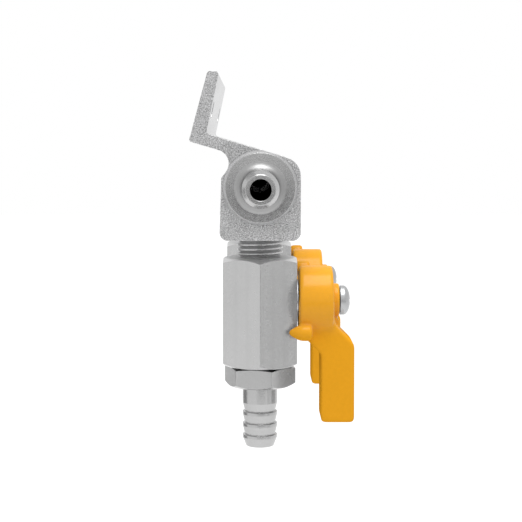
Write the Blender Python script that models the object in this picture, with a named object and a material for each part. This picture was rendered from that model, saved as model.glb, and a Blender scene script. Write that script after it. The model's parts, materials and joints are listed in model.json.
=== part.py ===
"""Two-outlet wall manifold with two quarter-turn ball valves, built piece by piece.

The bar has a bent flange that is screwed to a wall, and is fed through a hose tail at its front end.
Each valve screws into the bar from below and ends in a hose tail of its own.  A cast lever turns the
stem, and the tang of the stem turns the ball between its two seats.

X points away from the wall, Y runs along the bar from the inlet to the plugged end, and Z points up.
The origin is the middle of the flange face that lies on the wall.
"""
import math

import bmesh
import bpy
from mathutils import Matrix, Vector

MM = 0.001

# Clearances
SEAT_GAP = 0.25 * MM        # between faces that rest on each other
THREAD_GAP = 0.30 * MM      # from a thread's outer cylinder to its hole, on the radius
RUN_GAP = 0.30 * MM         # from a turning piece to a fixed one
STOP_GAP = 0.30 * MM        # from a stop lug to the body at either end of the quarter turn
DRIVE_GAP = 0.25 * MM       # from a tang or a flat to the slot that it turns

# Bar, measured from the axis of its bore
VALVE_PITCH = 60.0 * MM
BAR_END = 14.5 * MM         # last valve axis to the end of the bar
BAR_LEFT = 11.3 * MM
BAR_RIGHT = 11.2 * MM
BAR_UNDERSIDE = 14.8 * MM
BAR_FOOT_RADIUS = 2.3 * MM
BAR_SHOULDER_RADIUS = 5.5 * MM
BAR_BORE = 8.5 * MM
SPOT_FACE = 20.6 * MM
SPOT_DEPTH = 0.6 * MM
PORT_DRILL = 6.5 * MM
ROOT_HEIGHT = 2.6 * MM      # where the left side turns in towards the arm
ROOT_SETBACK = 0.55 * MM
ROOT_SLOPE = math.radians(52.7)
ROOT_RADIUS = 3.8 * MM
ROOT_EDGE_RADIUS = 1.0 * MM

# Flange
ARM_TOP = 10.4 * MM         # height of the arm's upper face over the bore axis
ARM_SLOPE = math.radians(16.6)
ARM_THICKNESS = 3.45 * MM
FLANGE_REACH = 19.7 * MM    # bore axis to the outer corner of the flange
FLANGE_LENGTH = 20.0 * MM
FLANGE_LEAN = math.radians(15.1)
FLANGE_INNER_LEAN = math.radians(11.9)
FLANGE_TIP = 3.2 * MM
FLANGE_TIP_RADIUS = 1.0 * MM
FLANGE_CORNER_RADIUS = 0.7 * MM
FLANGE_HOLE = 5.2 * MM
FLANGE_HOLE_SPACING = 66.0 * MM

# Inlet and plug threads in the ends of the bar
END_THREAD = 13.16 * MM
END_THREAD_LENGTH = 6.0 * MM
END_WASHER = 18.0 * MM
END_WASHER_THICKNESS = 1.2 * MM
INLET_COLLAR = 19.1 * MM
INLET_COLLAR_THICKNESS = 3.5 * MM
INLET_ROOT_RADIUS = 1.6 * MM     # hollow curve between collar and barb
PLUG_COLLAR = 18.0 * MM
PLUG_COLLAR_THICKNESS = 3.0 * MM
PLUG_SOCKET = 6.0 * MM
PLUG_SOCKET_DEPTH = 4.5 * MM
COLLAR_CHAMFER = 0.2 * MM
THREAD_CHAMFER = 0.4 * MM

# Hose barb, the same on all three tails
BARB_STEM = 10.0 * MM
BARB_STEM_LENGTH = 4.9 * MM
BARB_NECK = 8.8 * MM
BARB_LEAD = 2.4 * MM        # taper from the plain stem to the first neck
BARB_RIDGE = 9.9 * MM
BARB_LAND = 0.85 * MM
BARB_STEP = 0.15 * MM
BARB_PITCH = 3.35 * MM
BARB_COUNT = 3
BARB_NOSE = 8.1 * MM
BARB_MOUTH_CHAMFER = 0.15 * MM
HOSE_BORE = 5.6 * MM

# Valve body, measured from the ball's centre
BODY_FLATS = 21.0 * MM
BODY_TOP = 12.4 * MM
BODY_BOTTOM = 18.6 * MM
CHAMFER_INSET = 0.8 * MM    # flats to the flat end inside the corner chamfer, across both
CHAMFER_SLOPE = math.radians(30)
NECK_THREAD = 13.16 * MM
NECK_SHOWN = 5.7 * MM       # thread left open between the hexagon and the bar
NECK_ENGAGED = 7.9 * MM
STEM_PAD = 12.0 * MM        # turned pad round the stem, which fills the gap under the hub
FLOW_BORE = 6.0 * MM

# Ball and seats
BALL = 12.0 * MM
BALL_CAVITY_GAP = 0.6 * MM
BALL_SLOT_DEPTH = 1.9 * MM
SEAT_LIP = 1.3 * MM         # width of the ring that bears on the ball
SEAT_OUTER = 11.6 * MM
SEAT_THICKNESS = 2.8 * MM

# Stem, along X from the ball's centre
STEM = 6.3 * MM
STEM_COLLAR_STEP = 0.9 * MM
STEM_COLLAR_THICKNESS = 1.0 * MM
TANG_THICKNESS = 2.1 * MM
STEM_WASHER_THICKNESS = 0.6 * MM
STEM_RING_SECTION = 1.0 * MM
STEM_RING_GROOVE = 1.5 * MM
DRIVE_STEP = 0.15 * MM      # the flatted end is this much thinner on the radius
DRIVE_FLATS = 4.2 * MM
DRIVE_LENGTH = 8.0 * MM

# Hose tail under the body
TAIL_THREAD = 16.0 * MM
TAIL_FLATS = 18.0 * MM
TAIL_FLANGE = 5.7 * MM
TAIL_TURN = math.radians(18.7)   # how far the tail's hexagon stands turned from the body's
TAIL_POCKET_RIM = 0.9 * MM       # stem collar to the rim of the seat pocket
TAIL_RING_SECTION = 1.0 * MM
TAIL_RING_GROOVE = 1.6 * MM
TAIL_RING_INSET = 0.9 * MM

# Handle, along X from the body's flat
HUB_GAP = 0.7 * MM
HUB_INSET = 1.2 * MM        # how much smaller the hub is than the body across its flats
HUB_LENGTH = 9.6 * MM
HUB_EDGE_RADIUS = 0.9 * MM
BOSS = 9.6 * MM
BOSS_HEIGHT = 1.9 * MM
BOSS_EDGE_RADIUS = 0.5 * MM
LUG = 4.6 * MM
LUG_REACH = 2.3 * MM        # how far a lug reaches past the flat
LUG_ROOT = 3.5 * MM         # length of a lug along the hub
LUG_ROOT_RADIUS = 0.9 * MM
LEVER_WIDTH = 13.0 * MM
LEVER_THICKNESS = 9.5 * MM
LEVER_LENGTH = 34.3 * MM    # stem axis to the end of the lever
LEVER_SETOUT = 6.1 * MM     # inner face of the hub to the inner face of the lever
LEVER_NECK_TOP = 5.9 * MM   # where the outer slope leaves the hub, below the stem axis
LEVER_ELBOW = 11.9 * MM     # where the outer slope ends
LEVER_ARMPIT = 14.7 * MM    # where the inner slope ends
LEVER_ELBOW_RADIUS = 3.0 * MM
LEVER_NECK_RADIUS = 6.0 * MM     # hollow curve between the face of the hub and the outer slope
LEVER_SINK = 0.05 * MM      # how deep the root of the lever lies under the face of the hub
LEVER_END_RADIUS = 1.2 * MM
LEVER_EDGE_RADIUS = 0.8 * MM
WEB_WIDTH = 6.0 * MM        # web between the boss and the outer slope
WEB_TOP = 4.2 * MM          # top of the web at the hub, below the stem axis
WEB_DROP = 1.2 * MM         # how far its top falls towards the face of the boss

# Handle screw
SCREW = 3.8 * MM
SCREW_LENGTH = 8.5 * MM
SCREW_HEAD = 8.4 * MM
SCREW_HEAD_SIDE = 1.0 * MM
SCREW_DOME = 1.9 * MM
SCREW_HOLE_EXTRA = 1.0 * MM

# Facets
ROUND = 24
FINE_ROUND = 16
ARC_STEPS = 3
EDGE_STEPS = 2
RING_SIDES = 6
OVERLAP = 0.5 * MM          # how far joined shapes and cutters reach into or past each other
MERGE = 0.001 * MM
SHARP_ANGLE = math.radians(32)

# Frames that lay a shape's own length on an axis of the part
ALONG_Z = Matrix.Identity(4)
ALONG_Y = Matrix(((1, 0, 0, 0), (0, 0, 1, 0), (0, 1, 0, 0), (0, 0, 0, 1)))
ALONG_X = Matrix(((0, 0, 1, 0), (1, 0, 0, 0), (0, 1, 0, 0), (0, 0, 0, 1)))

# Colour, roughness and metallic value of each finish
FINISHES = {
    "blasted_aluminium": ((0.44, 0.44, 0.45), 0.60, 1.0),
    "nickel_plate": ((0.50, 0.50, 0.50), 0.34, 1.0),
    "yellow_paint": ((0.78, 0.34, 0.02), 0.38, 0.0),
    "zinc_steel": ((0.62, 0.62, 0.64), 0.28, 1.0),
    "polished_ball": ((0.66, 0.66, 0.66), 0.12, 1.0),
    "white_seat": ((0.86, 0.86, 0.84), 0.45, 0.0),
    "black_rubber": ((0.02, 0.02, 0.02), 0.60, 0.0),
    "soft_washer": ((0.56, 0.56, 0.57), 0.50, 1.0),
}

# Places that follow from the sizes above
BAR_HALF = VALVE_PITCH / 2 + BAR_END
STEM_DROP = BAR_UNDERSIDE + NECK_SHOWN + BODY_TOP
FLAT = BODY_FLATS / 2
STEM_COLLAR = STEM / 2 + STEM_COLLAR_STEP
STEM_COLLAR_START = BALL / 2 + RUN_GAP
STEM_COLLAR_END = STEM_COLLAR_START + STEM_COLLAR_THICKNESS
STEM_WASHER_START = STEM_COLLAR_END + SEAT_GAP
STEM_SEAT = STEM_WASHER_START + STEM_WASHER_THICKNESS + SEAT_GAP
STEM_RING_PLACE = (STEM_SEAT + FLAT) / 2
HUB = BODY_FLATS - HUB_INSET
HUB_START = FLAT + HUB_GAP
HUB_END = HUB_START + HUB_LENGTH
BOSS_END = HUB_END + BOSS_HEIGHT
DRIVE_END = HUB_START + DRIVE_LENGTH
SCREW_SEAT = BOSS_END + SEAT_GAP
POCKET_RIM = STEM_COLLAR + TAIL_POCKET_RIM
SEAT_CONTACT = FLOW_BORE / 2 + SEAT_LIP
SEAT_START = math.sqrt((BALL / 2 + RUN_GAP) ** 2 - SEAT_CONTACT ** 2)
SEAT_END = SEAT_START + SEAT_THICKNESS
POCKET_END = SEAT_END + SEAT_GAP
POCKET = SEAT_OUTER / 2 + SEAT_GAP
TAIL_TOP = BODY_BOTTOM + SEAT_GAP
TAIL_UNDERSIDE = TAIL_TOP + TAIL_FLANGE
BARB_LENGTH = BARB_STEM_LENGTH + BARB_LEAD + BARB_STEP + BARB_COUNT * BARB_PITCH
INLET_SEAT = BAR_HALF - SPOT_DEPTH + SEAT_GAP + END_WASHER_THICKNESS + SEAT_GAP


def clear_scene():
    """Remove every object that the scene already holds."""
    for leftover in list(bpy.data.objects):
        bpy.data.objects.remove(leftover)


def make_finish(name):
    """Return a material with the colour, roughness and metallic value of a finish."""
    colour, roughness, metallic = FINISHES[name]
    material = bpy.data.materials.new(name)
    material.use_nodes = True
    shader = material.node_tree.nodes["Principled BSDF"]
    shader.inputs["Base Color"].default_value = (*colour, 1.0)
    shader.inputs["Roughness"].default_value = roughness
    shader.inputs["Metallic"].default_value = metallic
    material.diffuse_color = (*colour, 1.0)
    return material


def dress(mesh, finish):
    """Give a mesh its shading and its finish."""
    mesh.shade_smooth()
    mesh.set_sharp_from_angle(angle=SHARP_ANGLE)
    mesh.materials.clear()
    mesh.materials.append(make_finish(finish))
    return mesh


def place(name, mesh, parent):
    """Make one sub-part from a mesh that is measured from its parent."""
    node = bpy.data.objects.new(name, mesh)
    node.parent = parent
    bpy.context.collection.objects.link(node)
    return node


def place_empty(name, location, parent=None):
    """Make a guide that carries sub-parts."""
    guide = bpy.data.objects.new(name, None)
    guide.location = location
    guide.parent = parent
    bpy.context.collection.objects.link(guide)
    return guide


def close_shape(shape, frame, name):
    """Turn a bmesh into a mesh with its faces pointing out."""
    shape.transform(frame)
    bmesh.ops.remove_doubles(shape, verts=shape.verts, dist=MERGE)
    bmesh.ops.recalc_face_normals(shape, faces=shape.faces)
    mesh = bpy.data.meshes.new(name)
    shape.to_mesh(mesh)
    shape.free()
    return mesh


def revolve(profile, segments=ROUND, frame=ALONG_Z, name="turned"):
    """Turn a closed profile of (radius, height) points about its axis."""
    shape = bmesh.new()
    rim = [shape.verts.new((radius, 0, height)) for radius, height in profile]
    pairs = zip(rim, rim[1:] + rim[:1])
    edges = [shape.edges.new(pair) for pair in pairs if max(pair[0].co.x, pair[1].co.x) > 0]
    bmesh.ops.spin(shape, geom=rim + edges, cent=(0, 0, 0), axis=(0, 0, 1), angle=math.tau,
                   steps=segments, use_merge=True, use_duplicate=False)
    return close_shape(shape, frame, name)


def extrude(outline, start, end, frame=ALONG_Z, edge_radius=0.0, name="prism"):
    """Push a flat outline from start to end, with the edges of both ends rounded on request."""
    shape = bmesh.new()
    face = shape.faces.new([shape.verts.new((x, y, start)) for x, y in outline])
    pushed = bmesh.ops.extrude_face_region(shape, geom=[face], use_keep_orig=True)
    top = [item for item in pushed["geom"] if isinstance(item, bmesh.types.BMVert)]
    bmesh.ops.translate(shape, verts=top, vec=(0, 0, end - start))
    if edge_radius:
        rims = [edge for edge in shape.edges if edge.verts[0].co.z == edge.verts[1].co.z]
        bmesh.ops.bevel(shape, geom=rims, offset=edge_radius, segments=EDGE_STEPS, profile=0.5,
                        affect="EDGES")
    return close_shape(shape, frame, name)


def make_box(low, high):
    """Return a box between two corners."""
    outline = [(low[0], low[1]), (high[0], low[1]), (high[0], high[1]), (low[0], high[1])]
    return extrude(outline, low[2], high[2])


def combine(base, *steps):
    """Return a mesh after boolean steps, each one an operation and the mesh that it uses."""
    carrier = bpy.data.objects.new("carrier", base)
    helpers = [carrier]
    for operation, mesh in steps:
        tool = bpy.data.objects.new("tool", mesh)
        helpers.append(tool)
        change = carrier.modifiers.new(operation, "BOOLEAN")
        change.operation = operation
        change.solver = "EXACT"
        change.object = tool
    for helper in helpers:
        bpy.context.collection.objects.link(helper)
    result = bmesh.new()
    result.from_object(carrier, bpy.context.evaluated_depsgraph_get())
    for helper in helpers:
        bpy.data.objects.remove(helper)
    return close_shape(result, ALONG_Z, base.name)


def round_outline(corners, steps=ARC_STEPS):
    """Return a closed outline through (x, y, radius) corners, each rounded by its radius."""
    outline = []
    for index, (x, y, radius) in enumerate(corners):
        corner = Vector((x, y))
        if not radius:
            outline.append(corner)
            continue
        back = (Vector(corners[index - 1][:2]) - corner).normalized()
        ahead = (Vector(corners[(index + 1) % len(corners)][:2]) - corner).normalized()
        half = back.angle(ahead) / 2
        centre = corner + (back + ahead).normalized() * radius / math.sin(half)
        start = corner + back * radius / math.tan(half) - centre
        end = corner + ahead * radius / math.tan(half) - centre
        sweep = math.copysign(math.pi - 2 * half, start.cross(end))
        outline += [centre + Matrix.Rotation(sweep * step / steps, 2) @ start for step in range(steps + 1)]
    return outline


def cross_lines(point, slope, other, other_slope):
    """Return where two lines meet, each given by a point and its angle."""
    ahead = Vector((math.cos(slope), math.sin(slope)))
    other_ahead = Vector((math.cos(other_slope), math.sin(other_slope)))
    reach = (Vector(other) - Vector(point)).cross(other_ahead) / ahead.cross(other_ahead)
    return Vector(point) + ahead * reach


def hexagon(flats, corner_angle):
    """Return the corners of a hexagon with one corner at the given angle."""
    reach = flats / 2 / math.cos(math.pi / 6)
    angles = [corner_angle + math.tau * side / 6 for side in range(6)]
    return [(reach * math.cos(angle), reach * math.sin(angle)) for angle in angles]


def chamfered_hexagon(flats, corner_angle, bottom, top, name):
    """Return a hexagon bar whose corners are turned off at both ends."""
    reach = flats / 2 / math.cos(math.pi / 6) + OVERLAP
    face = (flats - CHAMFER_INSET) / 2
    drop = (reach - face) * math.tan(CHAMFER_SLOPE)
    turned = [(0, bottom), (face, bottom), (reach, bottom + drop),
              (reach, top - drop), (face, top), (0, top)]
    bar = extrude(hexagon(flats, corner_angle), bottom - OVERLAP, top + OVERLAP, name=name)
    return combine(bar, ("INTERSECT", revolve(turned)))


def flange_corners():
    """Return the corners of the flange and arm, as points in the plane across the bar."""
    arm_top = Vector((0, ARM_TOP))
    arm_underside = Vector((0, ARM_TOP - ARM_THICKNESS / math.cos(ARM_SLOPE)))
    outer = Vector((-FLANGE_REACH, arm_underside.y + FLANGE_REACH * math.tan(ARM_SLOPE)))
    tip = outer + FLANGE_LENGTH * Vector((math.sin(FLANGE_LEAN), math.cos(FLANGE_LEAN)))
    inner_tip = tip + Vector((FLANGE_TIP, 0))
    inner = cross_lines(inner_tip, math.pi / 2 - FLANGE_INNER_LEAN, arm_top, -ARM_SLOPE)
    shoulder = cross_lines((BAR_RIGHT, 0), math.pi / 2, arm_top, -ARM_SLOPE)
    edge = Vector((ROOT_SETBACK - BAR_LEFT, ROOT_HEIGHT))
    root = cross_lines(edge, ROOT_SLOPE, arm_underside, -ARM_SLOPE)
    return {"outer": outer, "tip": tip, "inner_tip": inner_tip, "inner": inner,
            "shoulder": shoulder, "root": root, "edge": edge}


def bar_outline():
    """Return the profile of the bar with its arm and flange."""
    corners = flange_corners()
    return round_outline([
        (-BAR_LEFT, -BAR_UNDERSIDE, BAR_FOOT_RADIUS),
        (BAR_RIGHT, -BAR_UNDERSIDE, BAR_FOOT_RADIUS),
        (*corners["shoulder"], BAR_SHOULDER_RADIUS),
        (*corners["inner"], FLANGE_TIP_RADIUS),
        (*corners["inner_tip"], FLANGE_TIP_RADIUS),
        (*corners["tip"], FLANGE_TIP_RADIUS),
        (*corners["outer"], FLANGE_CORNER_RADIUS),
        (*corners["root"], ROOT_RADIUS),
        (*corners["edge"], ROOT_EDGE_RADIUS),
    ])


def wall_point():
    """Return the middle of the flange face on the wall, measured from the bore axis."""
    corners = flange_corners()
    middle = (corners["outer"] + corners["tip"]) / 2
    return Vector((middle.x, 0, middle.y))


def flange_hole(along):
    """Return the cutter for one screw hole, square to the wall face."""
    middle = wall_point()
    reach = FLANGE_LENGTH / 2
    hole = revolve([(0, -reach), (FLANGE_HOLE / 2, -reach), (FLANGE_HOLE / 2, reach), (0, reach)],
                   FINE_ROUND, ALONG_X)
    hole.transform(Matrix.Translation((middle.x, along, middle.z)) @ Matrix.Rotation(FLANGE_LEAN, 4, "Y"))
    return hole


def make_bar():
    """Return the extruded bar with its bore, end threads, valve ports and flange holes."""
    thread = END_THREAD / 2 + THREAD_GAP
    face = BAR_HALF - SPOT_DEPTH
    stop = face - END_THREAD_LENGTH - SEAT_GAP
    half = [(SPOT_FACE / 2, BAR_HALF + OVERLAP), (SPOT_FACE / 2, face), (thread, face), (thread, stop),
            (BAR_BORE / 2, stop)]
    other_half = [(radius, -along) for radius, along in reversed(half)]
    ends = [(0, BAR_HALF + OVERLAP), *half, *other_half, (0, -BAR_HALF - OVERLAP)]
    port_top = NECK_ENGAGED + SEAT_GAP - BAR_UNDERSIDE
    port_radius = NECK_THREAD / 2 + THREAD_GAP
    port = [(0, -BAR_UNDERSIDE - OVERLAP), (port_radius, -BAR_UNDERSIDE - OVERLAP),
            (port_radius, port_top), (PORT_DRILL / 2, port_top), (PORT_DRILL / 2, 0), (0, 0)]
    cuts = [("DIFFERENCE", revolve(ends, ROUND, ALONG_Y))]
    for side in (-1, 1):
        valve_port = revolve(port, ROUND)
        valve_port.transform(Matrix.Translation((0, side * VALVE_PITCH / 2, 0)))
        cuts.append(("DIFFERENCE", valve_port))
        cuts.append(("DIFFERENCE", flange_hole(side * FLANGE_HOLE_SPACING / 2)))
    return combine(extrude(bar_outline(), -BAR_HALF, BAR_HALF, ALONG_Y, name="manifold_bar"), *cuts)


def barb_profile():
    """Return the outside of a hose barb as (radius, distance from its flange), up to its open end."""
    points = [(BARB_STEM / 2, BARB_STEM_LENGTH), (BARB_NECK / 2, BARB_STEM_LENGTH + BARB_LEAD)]
    for ridge in range(BARB_COUNT):
        start = BARB_STEM_LENGTH + BARB_LEAD + ridge * BARB_PITCH
        points.append((BARB_RIDGE / 2, start + BARB_STEP))
        points.append((BARB_RIDGE / 2, start + BARB_STEP + BARB_LAND))
        if ridge < BARB_COUNT - 1:
            points.append((BARB_NECK / 2, start + BARB_PITCH))
    chamfer = BARB_MOUTH_CHAMFER
    return points + [(BARB_NOSE / 2, BARB_LENGTH - chamfer), (BARB_NOSE / 2 - chamfer, BARB_LENGTH)]


def make_inlet_tail():
    """Return the inlet hose tail, with its thread behind a round collar."""
    screwed = -END_WASHER_THICKNESS - 2 * SEAT_GAP - END_THREAD_LENGTH
    collar = INLET_COLLAR / 2
    front = INLET_COLLAR_THICKNESS
    bore = HOSE_BORE / 2
    end = front + BARB_LENGTH
    stem = BARB_STEM / 2
    root = round_outline([(collar, front, 0), (stem, front, INLET_ROOT_RADIUS), (stem, end, 0)])[1:-1]
    profile = [
        (bore, screwed), (END_THREAD / 2 - THREAD_CHAMFER, screwed),
        (END_THREAD / 2, screwed + THREAD_CHAMFER), (END_THREAD / 2, 0), (collar, 0),
        (collar, front - COLLAR_CHAMFER), (collar - COLLAR_CHAMFER, front), *root,
        *((radius, front + along) for radius, along in barb_profile()),
        (bore + BARB_MOUTH_CHAMFER, end), (bore, end - BARB_MOUTH_CHAMFER),
    ]
    outward = [(radius, -INLET_SEAT - along) for radius, along in profile]
    return revolve(outward, ROUND, ALONG_Y, "inlet_hose_tail")


def make_end_plug():
    """Return the plug of the far end, with a hexagon socket in its collar."""
    collar = PLUG_COLLAR / 2
    outside = INLET_SEAT + PLUG_COLLAR_THICKNESS
    inside = BAR_HALF - SPOT_DEPTH - END_THREAD_LENGTH
    profile = [(0, inside), (END_THREAD / 2 - THREAD_CHAMFER, inside),
               (END_THREAD / 2, inside + THREAD_CHAMFER), (END_THREAD / 2, INLET_SEAT), (collar, INLET_SEAT),
               (collar, outside - COLLAR_CHAMFER), (collar - COLLAR_CHAMFER, outside), (0, outside)]
    socket = extrude(hexagon(PLUG_SOCKET, 0), outside - PLUG_SOCKET_DEPTH, outside + OVERLAP, ALONG_Y)
    return combine(revolve(profile, ROUND, ALONG_Y, "end_plug"), ("DIFFERENCE", socket))


def make_end_washer(side, name):
    """Return the sealing washer at one end of the bar."""
    low = BAR_HALF - SPOT_DEPTH + SEAT_GAP
    high = low + END_WASHER_THICKNESS
    inner = END_THREAD / 2 + THREAD_GAP
    profile = [(inner, low), (END_WASHER / 2, low), (END_WASHER / 2, high), (inner, high)]
    return revolve([(radius, side * along) for radius, along in profile], ROUND, ALONG_Y, name)


def make_valve_body():
    """Return the hexagon body with its male neck, ball chamber, tail thread, stem hole and stem pad."""
    neck_top = BODY_TOP + NECK_SHOWN + NECK_ENGAGED
    neck = [(0, BODY_TOP - OVERLAP), (NECK_THREAD / 2, BODY_TOP - OVERLAP),
            (NECK_THREAD / 2, neck_top - THREAD_CHAMFER), (NECK_THREAD / 2 - THREAD_CHAMFER, neck_top),
            (0, neck_top)]
    chamber = BALL / 2 + BALL_CAVITY_GAP
    thread = TAIL_THREAD / 2 + THREAD_GAP
    thread_top = SEAT_GAP - POCKET_RIM
    passage = [(0, -BODY_BOTTOM - OVERLAP), (thread, -BODY_BOTTOM - OVERLAP), (thread, thread_top),
               (chamber, thread_top), (chamber, POCKET_RIM), (POCKET, POCKET_RIM), (POCKET, POCKET_END),
               (FLOW_BORE / 2, POCKET_END), (FLOW_BORE / 2, neck_top + OVERLAP), (0, neck_top + OVERLAP)]
    stem_hole = STEM / 2 + RUN_GAP
    collar_hole = STEM_COLLAR + RUN_GAP
    stem_passage = [(0, 0), (collar_hole, 0), (collar_hole, STEM_SEAT), (stem_hole, STEM_SEAT),
                    (stem_hole, HUB_START), (0, HUB_START)]
    pad_end = HUB_START - RUN_GAP
    pad = [(0, FLAT - OVERLAP), (STEM_PAD / 2, FLAT - OVERLAP), (STEM_PAD / 2, pad_end), (0, pad_end)]
    hexagon_bar = chamfered_hexagon(BODY_FLATS, -math.pi / 2, -BODY_BOTTOM, BODY_TOP, "valve_body")
    return combine(hexagon_bar, ("UNION", revolve(neck)), ("UNION", revolve(pad, ROUND, ALONG_X)),
                   ("DIFFERENCE", revolve(passage)),
                   ("DIFFERENCE", revolve(stem_passage, FINE_ROUND, ALONG_X)))


def make_hose_tail():
    """Return the outlet tail: thread and seat pocket above, hexagon flange, barb below."""
    thread = TAIL_THREAD / 2
    groove = thread - TAIL_RING_SECTION - SEAT_GAP
    groove_low = BODY_BOTTOM - TAIL_RING_INSET
    groove_high = groove_low - TAIL_RING_GROOVE
    step = TAIL_UNDERSIDE - OVERLAP
    outside = [(0, POCKET_RIM), (thread - THREAD_CHAMFER, POCKET_RIM), (thread, POCKET_RIM + THREAD_CHAMFER),
               (thread, groove_high), (groove, groove_high), (groove, groove_low), (thread, groove_low),
               (thread, step), (BARB_STEM / 2, step),
               *((radius, TAIL_UNDERSIDE + along) for radius, along in barb_profile()),
               (0, TAIL_UNDERSIDE + BARB_LENGTH)]
    bore = HOSE_BORE / 2
    end = TAIL_UNDERSIDE + BARB_LENGTH
    inside = [(0, POCKET_RIM - OVERLAP), (POCKET, POCKET_RIM - OVERLAP), (POCKET, POCKET_END),
              (bore, POCKET_END), (bore, end - BARB_MOUTH_CHAMFER),
              (bore + BARB_MOUTH_CHAMFER + OVERLAP, end + OVERLAP), (0, end + OVERLAP)]
    flange = chamfered_hexagon(TAIL_FLATS, TAIL_TURN - math.pi / 2, -TAIL_UNDERSIDE, -TAIL_TOP, "hose_tail")
    turned = revolve([(radius, -drop) for radius, drop in outside])
    hollow = revolve([(radius, -drop) for radius, drop in inside])
    return combine(flange, ("UNION", turned), ("DIFFERENCE", hollow))


def make_ring(middle, section, place_along, segments, frame, name):
    """Return an O-ring about an axis."""
    sides = [math.tau * side / RING_SIDES for side in range(RING_SIDES)]
    profile = [(middle + section / 2 * math.cos(angle), place_along + section / 2 * math.sin(angle))
               for angle in sides]
    return revolve(profile, segments, frame, name)


def make_tail_ring():
    """Return the O-ring in the groove of the hose tail."""
    middle = (TAIL_THREAD - TAIL_RING_SECTION) / 2
    centre = TAIL_RING_INSET + TAIL_RING_GROOVE / 2 - BODY_BOTTOM
    return make_ring(middle, TAIL_RING_SECTION, centre, ROUND, ALONG_Z, "tail_o_ring")


def make_stem_ring():
    """Return the O-ring in the groove of the stem."""
    middle = (STEM - STEM_RING_SECTION) / 2
    return make_ring(middle, STEM_RING_SECTION, STEM_RING_PLACE, FINE_ROUND, ALONG_X, "stem_o_ring")


def make_seat(side, name):
    """Return a ball seat, a ring with a hollowed edge towards the ball."""
    inner = FLOW_BORE / 2
    reach = BALL / 2 + RUN_GAP
    lip = [(inner + SEAT_LIP * step / ARC_STEPS) for step in range(ARC_STEPS + 1)]
    hollow = [(radius, math.sqrt(reach ** 2 - radius ** 2)) for radius in lip]
    profile = hollow + [(SEAT_OUTER / 2, SEAT_START), (SEAT_OUTER / 2, SEAT_END), (inner, SEAT_END)]
    return revolve([(radius, side * height) for radius, height in profile], FINE_ROUND, name=name)


def make_ball():
    """Return the bored ball with the slot that takes the tang of the stem."""
    radius = BALL / 2
    edge = math.acos(FLOW_BORE / BALL)
    steps = 2 * ARC_STEPS + 2
    angles = [edge - 2 * edge * step / steps for step in range(steps + 1)]
    profile = [(radius * math.cos(angle), radius * math.sin(angle)) for angle in angles]
    half = TANG_THICKNESS / 2 + DRIVE_GAP
    slot = make_box((radius - BALL_SLOT_DEPTH, -radius, -half), (radius + OVERLAP, radius, half))
    return combine(revolve(profile, FINE_ROUND, name="ball"), ("DIFFERENCE", slot))


def flatted_round(radius, flats):
    """Return the outline of a round bar with two flats."""
    edge = math.asin(flats / 2 / radius)
    steps = 2 * ARC_STEPS
    sweep = [edge - 2 * edge * step / steps for step in range(steps + 1)]
    right = [(radius * math.cos(angle), radius * math.sin(angle)) for angle in sweep]
    return right + [(-x, -y) for x, y in right]


def make_stem():
    """Return the stem: tang, thrust collar, shank with its ring groove, and flatted end."""
    shank = STEM / 2
    groove = shank - STEM_RING_SECTION - SEAT_GAP
    groove_start = STEM_RING_PLACE - STEM_RING_GROOVE / 2
    groove_end = STEM_RING_PLACE + STEM_RING_GROOVE / 2
    shank_end = HUB_START + DRIVE_GAP
    profile = [(0, STEM_COLLAR_START), (STEM_COLLAR, STEM_COLLAR_START), (STEM_COLLAR, STEM_COLLAR_END),
               (shank, STEM_COLLAR_END), (shank, groove_start), (groove, groove_start), (groove, groove_end),
               (shank, groove_end), (shank, shank_end), (0, shank_end)]
    drive = extrude(flatted_round(shank - DRIVE_STEP, DRIVE_FLATS), shank_end - OVERLAP, DRIVE_END, ALONG_X)
    tang_start = BALL / 2 - BALL_SLOT_DEPTH + DRIVE_GAP
    half = TANG_THICKNESS / 2
    tang = make_box((tang_start, -shank, -half), (STEM_COLLAR_START + OVERLAP, shank, half))
    hole_end = SCREW_SEAT - SCREW_LENGTH - SCREW_HOLE_EXTRA
    hole_radius = SCREW / 2 + THREAD_GAP
    hole = [(0, hole_end), (hole_radius, hole_end), (hole_radius, DRIVE_END + OVERLAP),
            (0, DRIVE_END + OVERLAP)]
    return combine(revolve(profile, FINE_ROUND, ALONG_X, "stem"), ("UNION", drive), ("UNION", tang),
                   ("DIFFERENCE", revolve(hole, FINE_ROUND, ALONG_X)))


def make_stem_washer():
    """Return the thrust washer between the collar of the stem and the body."""
    inner = STEM / 2 + RUN_GAP
    outer = STEM_COLLAR
    end = STEM_WASHER_START + STEM_WASHER_THICKNESS
    profile = [(inner, STEM_WASHER_START), (outer, STEM_WASHER_START), (outer, end), (inner, end)]
    return revolve(profile, FINE_ROUND, ALONG_X, "stem_washer")


def lug_offset():
    """Return how far a lug's axis lies from the stem axis, in Y and in Z.

    The nose of a lug is a cone that lies along the body's slanted flat, one stop gap away from it.
    """
    reach = (FLAT + STOP_GAP - HUB_START * math.sin(math.pi / 6)) / math.cos(math.pi / 6)
    return LUG / 2 + reach


def make_lug(side):
    """Return one stop lug; the quarter turn carries it from one slanted half of the body to the other."""
    nose = FLAT - LUG_REACH
    nose_radius = LUG / 2 - (HUB_START - nose) * math.tan(math.pi / 6)
    root = HUB_START + LUG_ROOT
    profile = round_outline([(0, nose, 0), (nose_radius, nose, 0), (LUG / 2, HUB_START, 0),
                             (LUG / 2, root, LUG_ROOT_RADIUS), (0, root, 0)])
    lug = revolve(profile, FINE_ROUND, ALONG_X)
    lug.transform(Matrix.Translation((0, side * lug_offset(), side * lug_offset())))
    return lug


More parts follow.
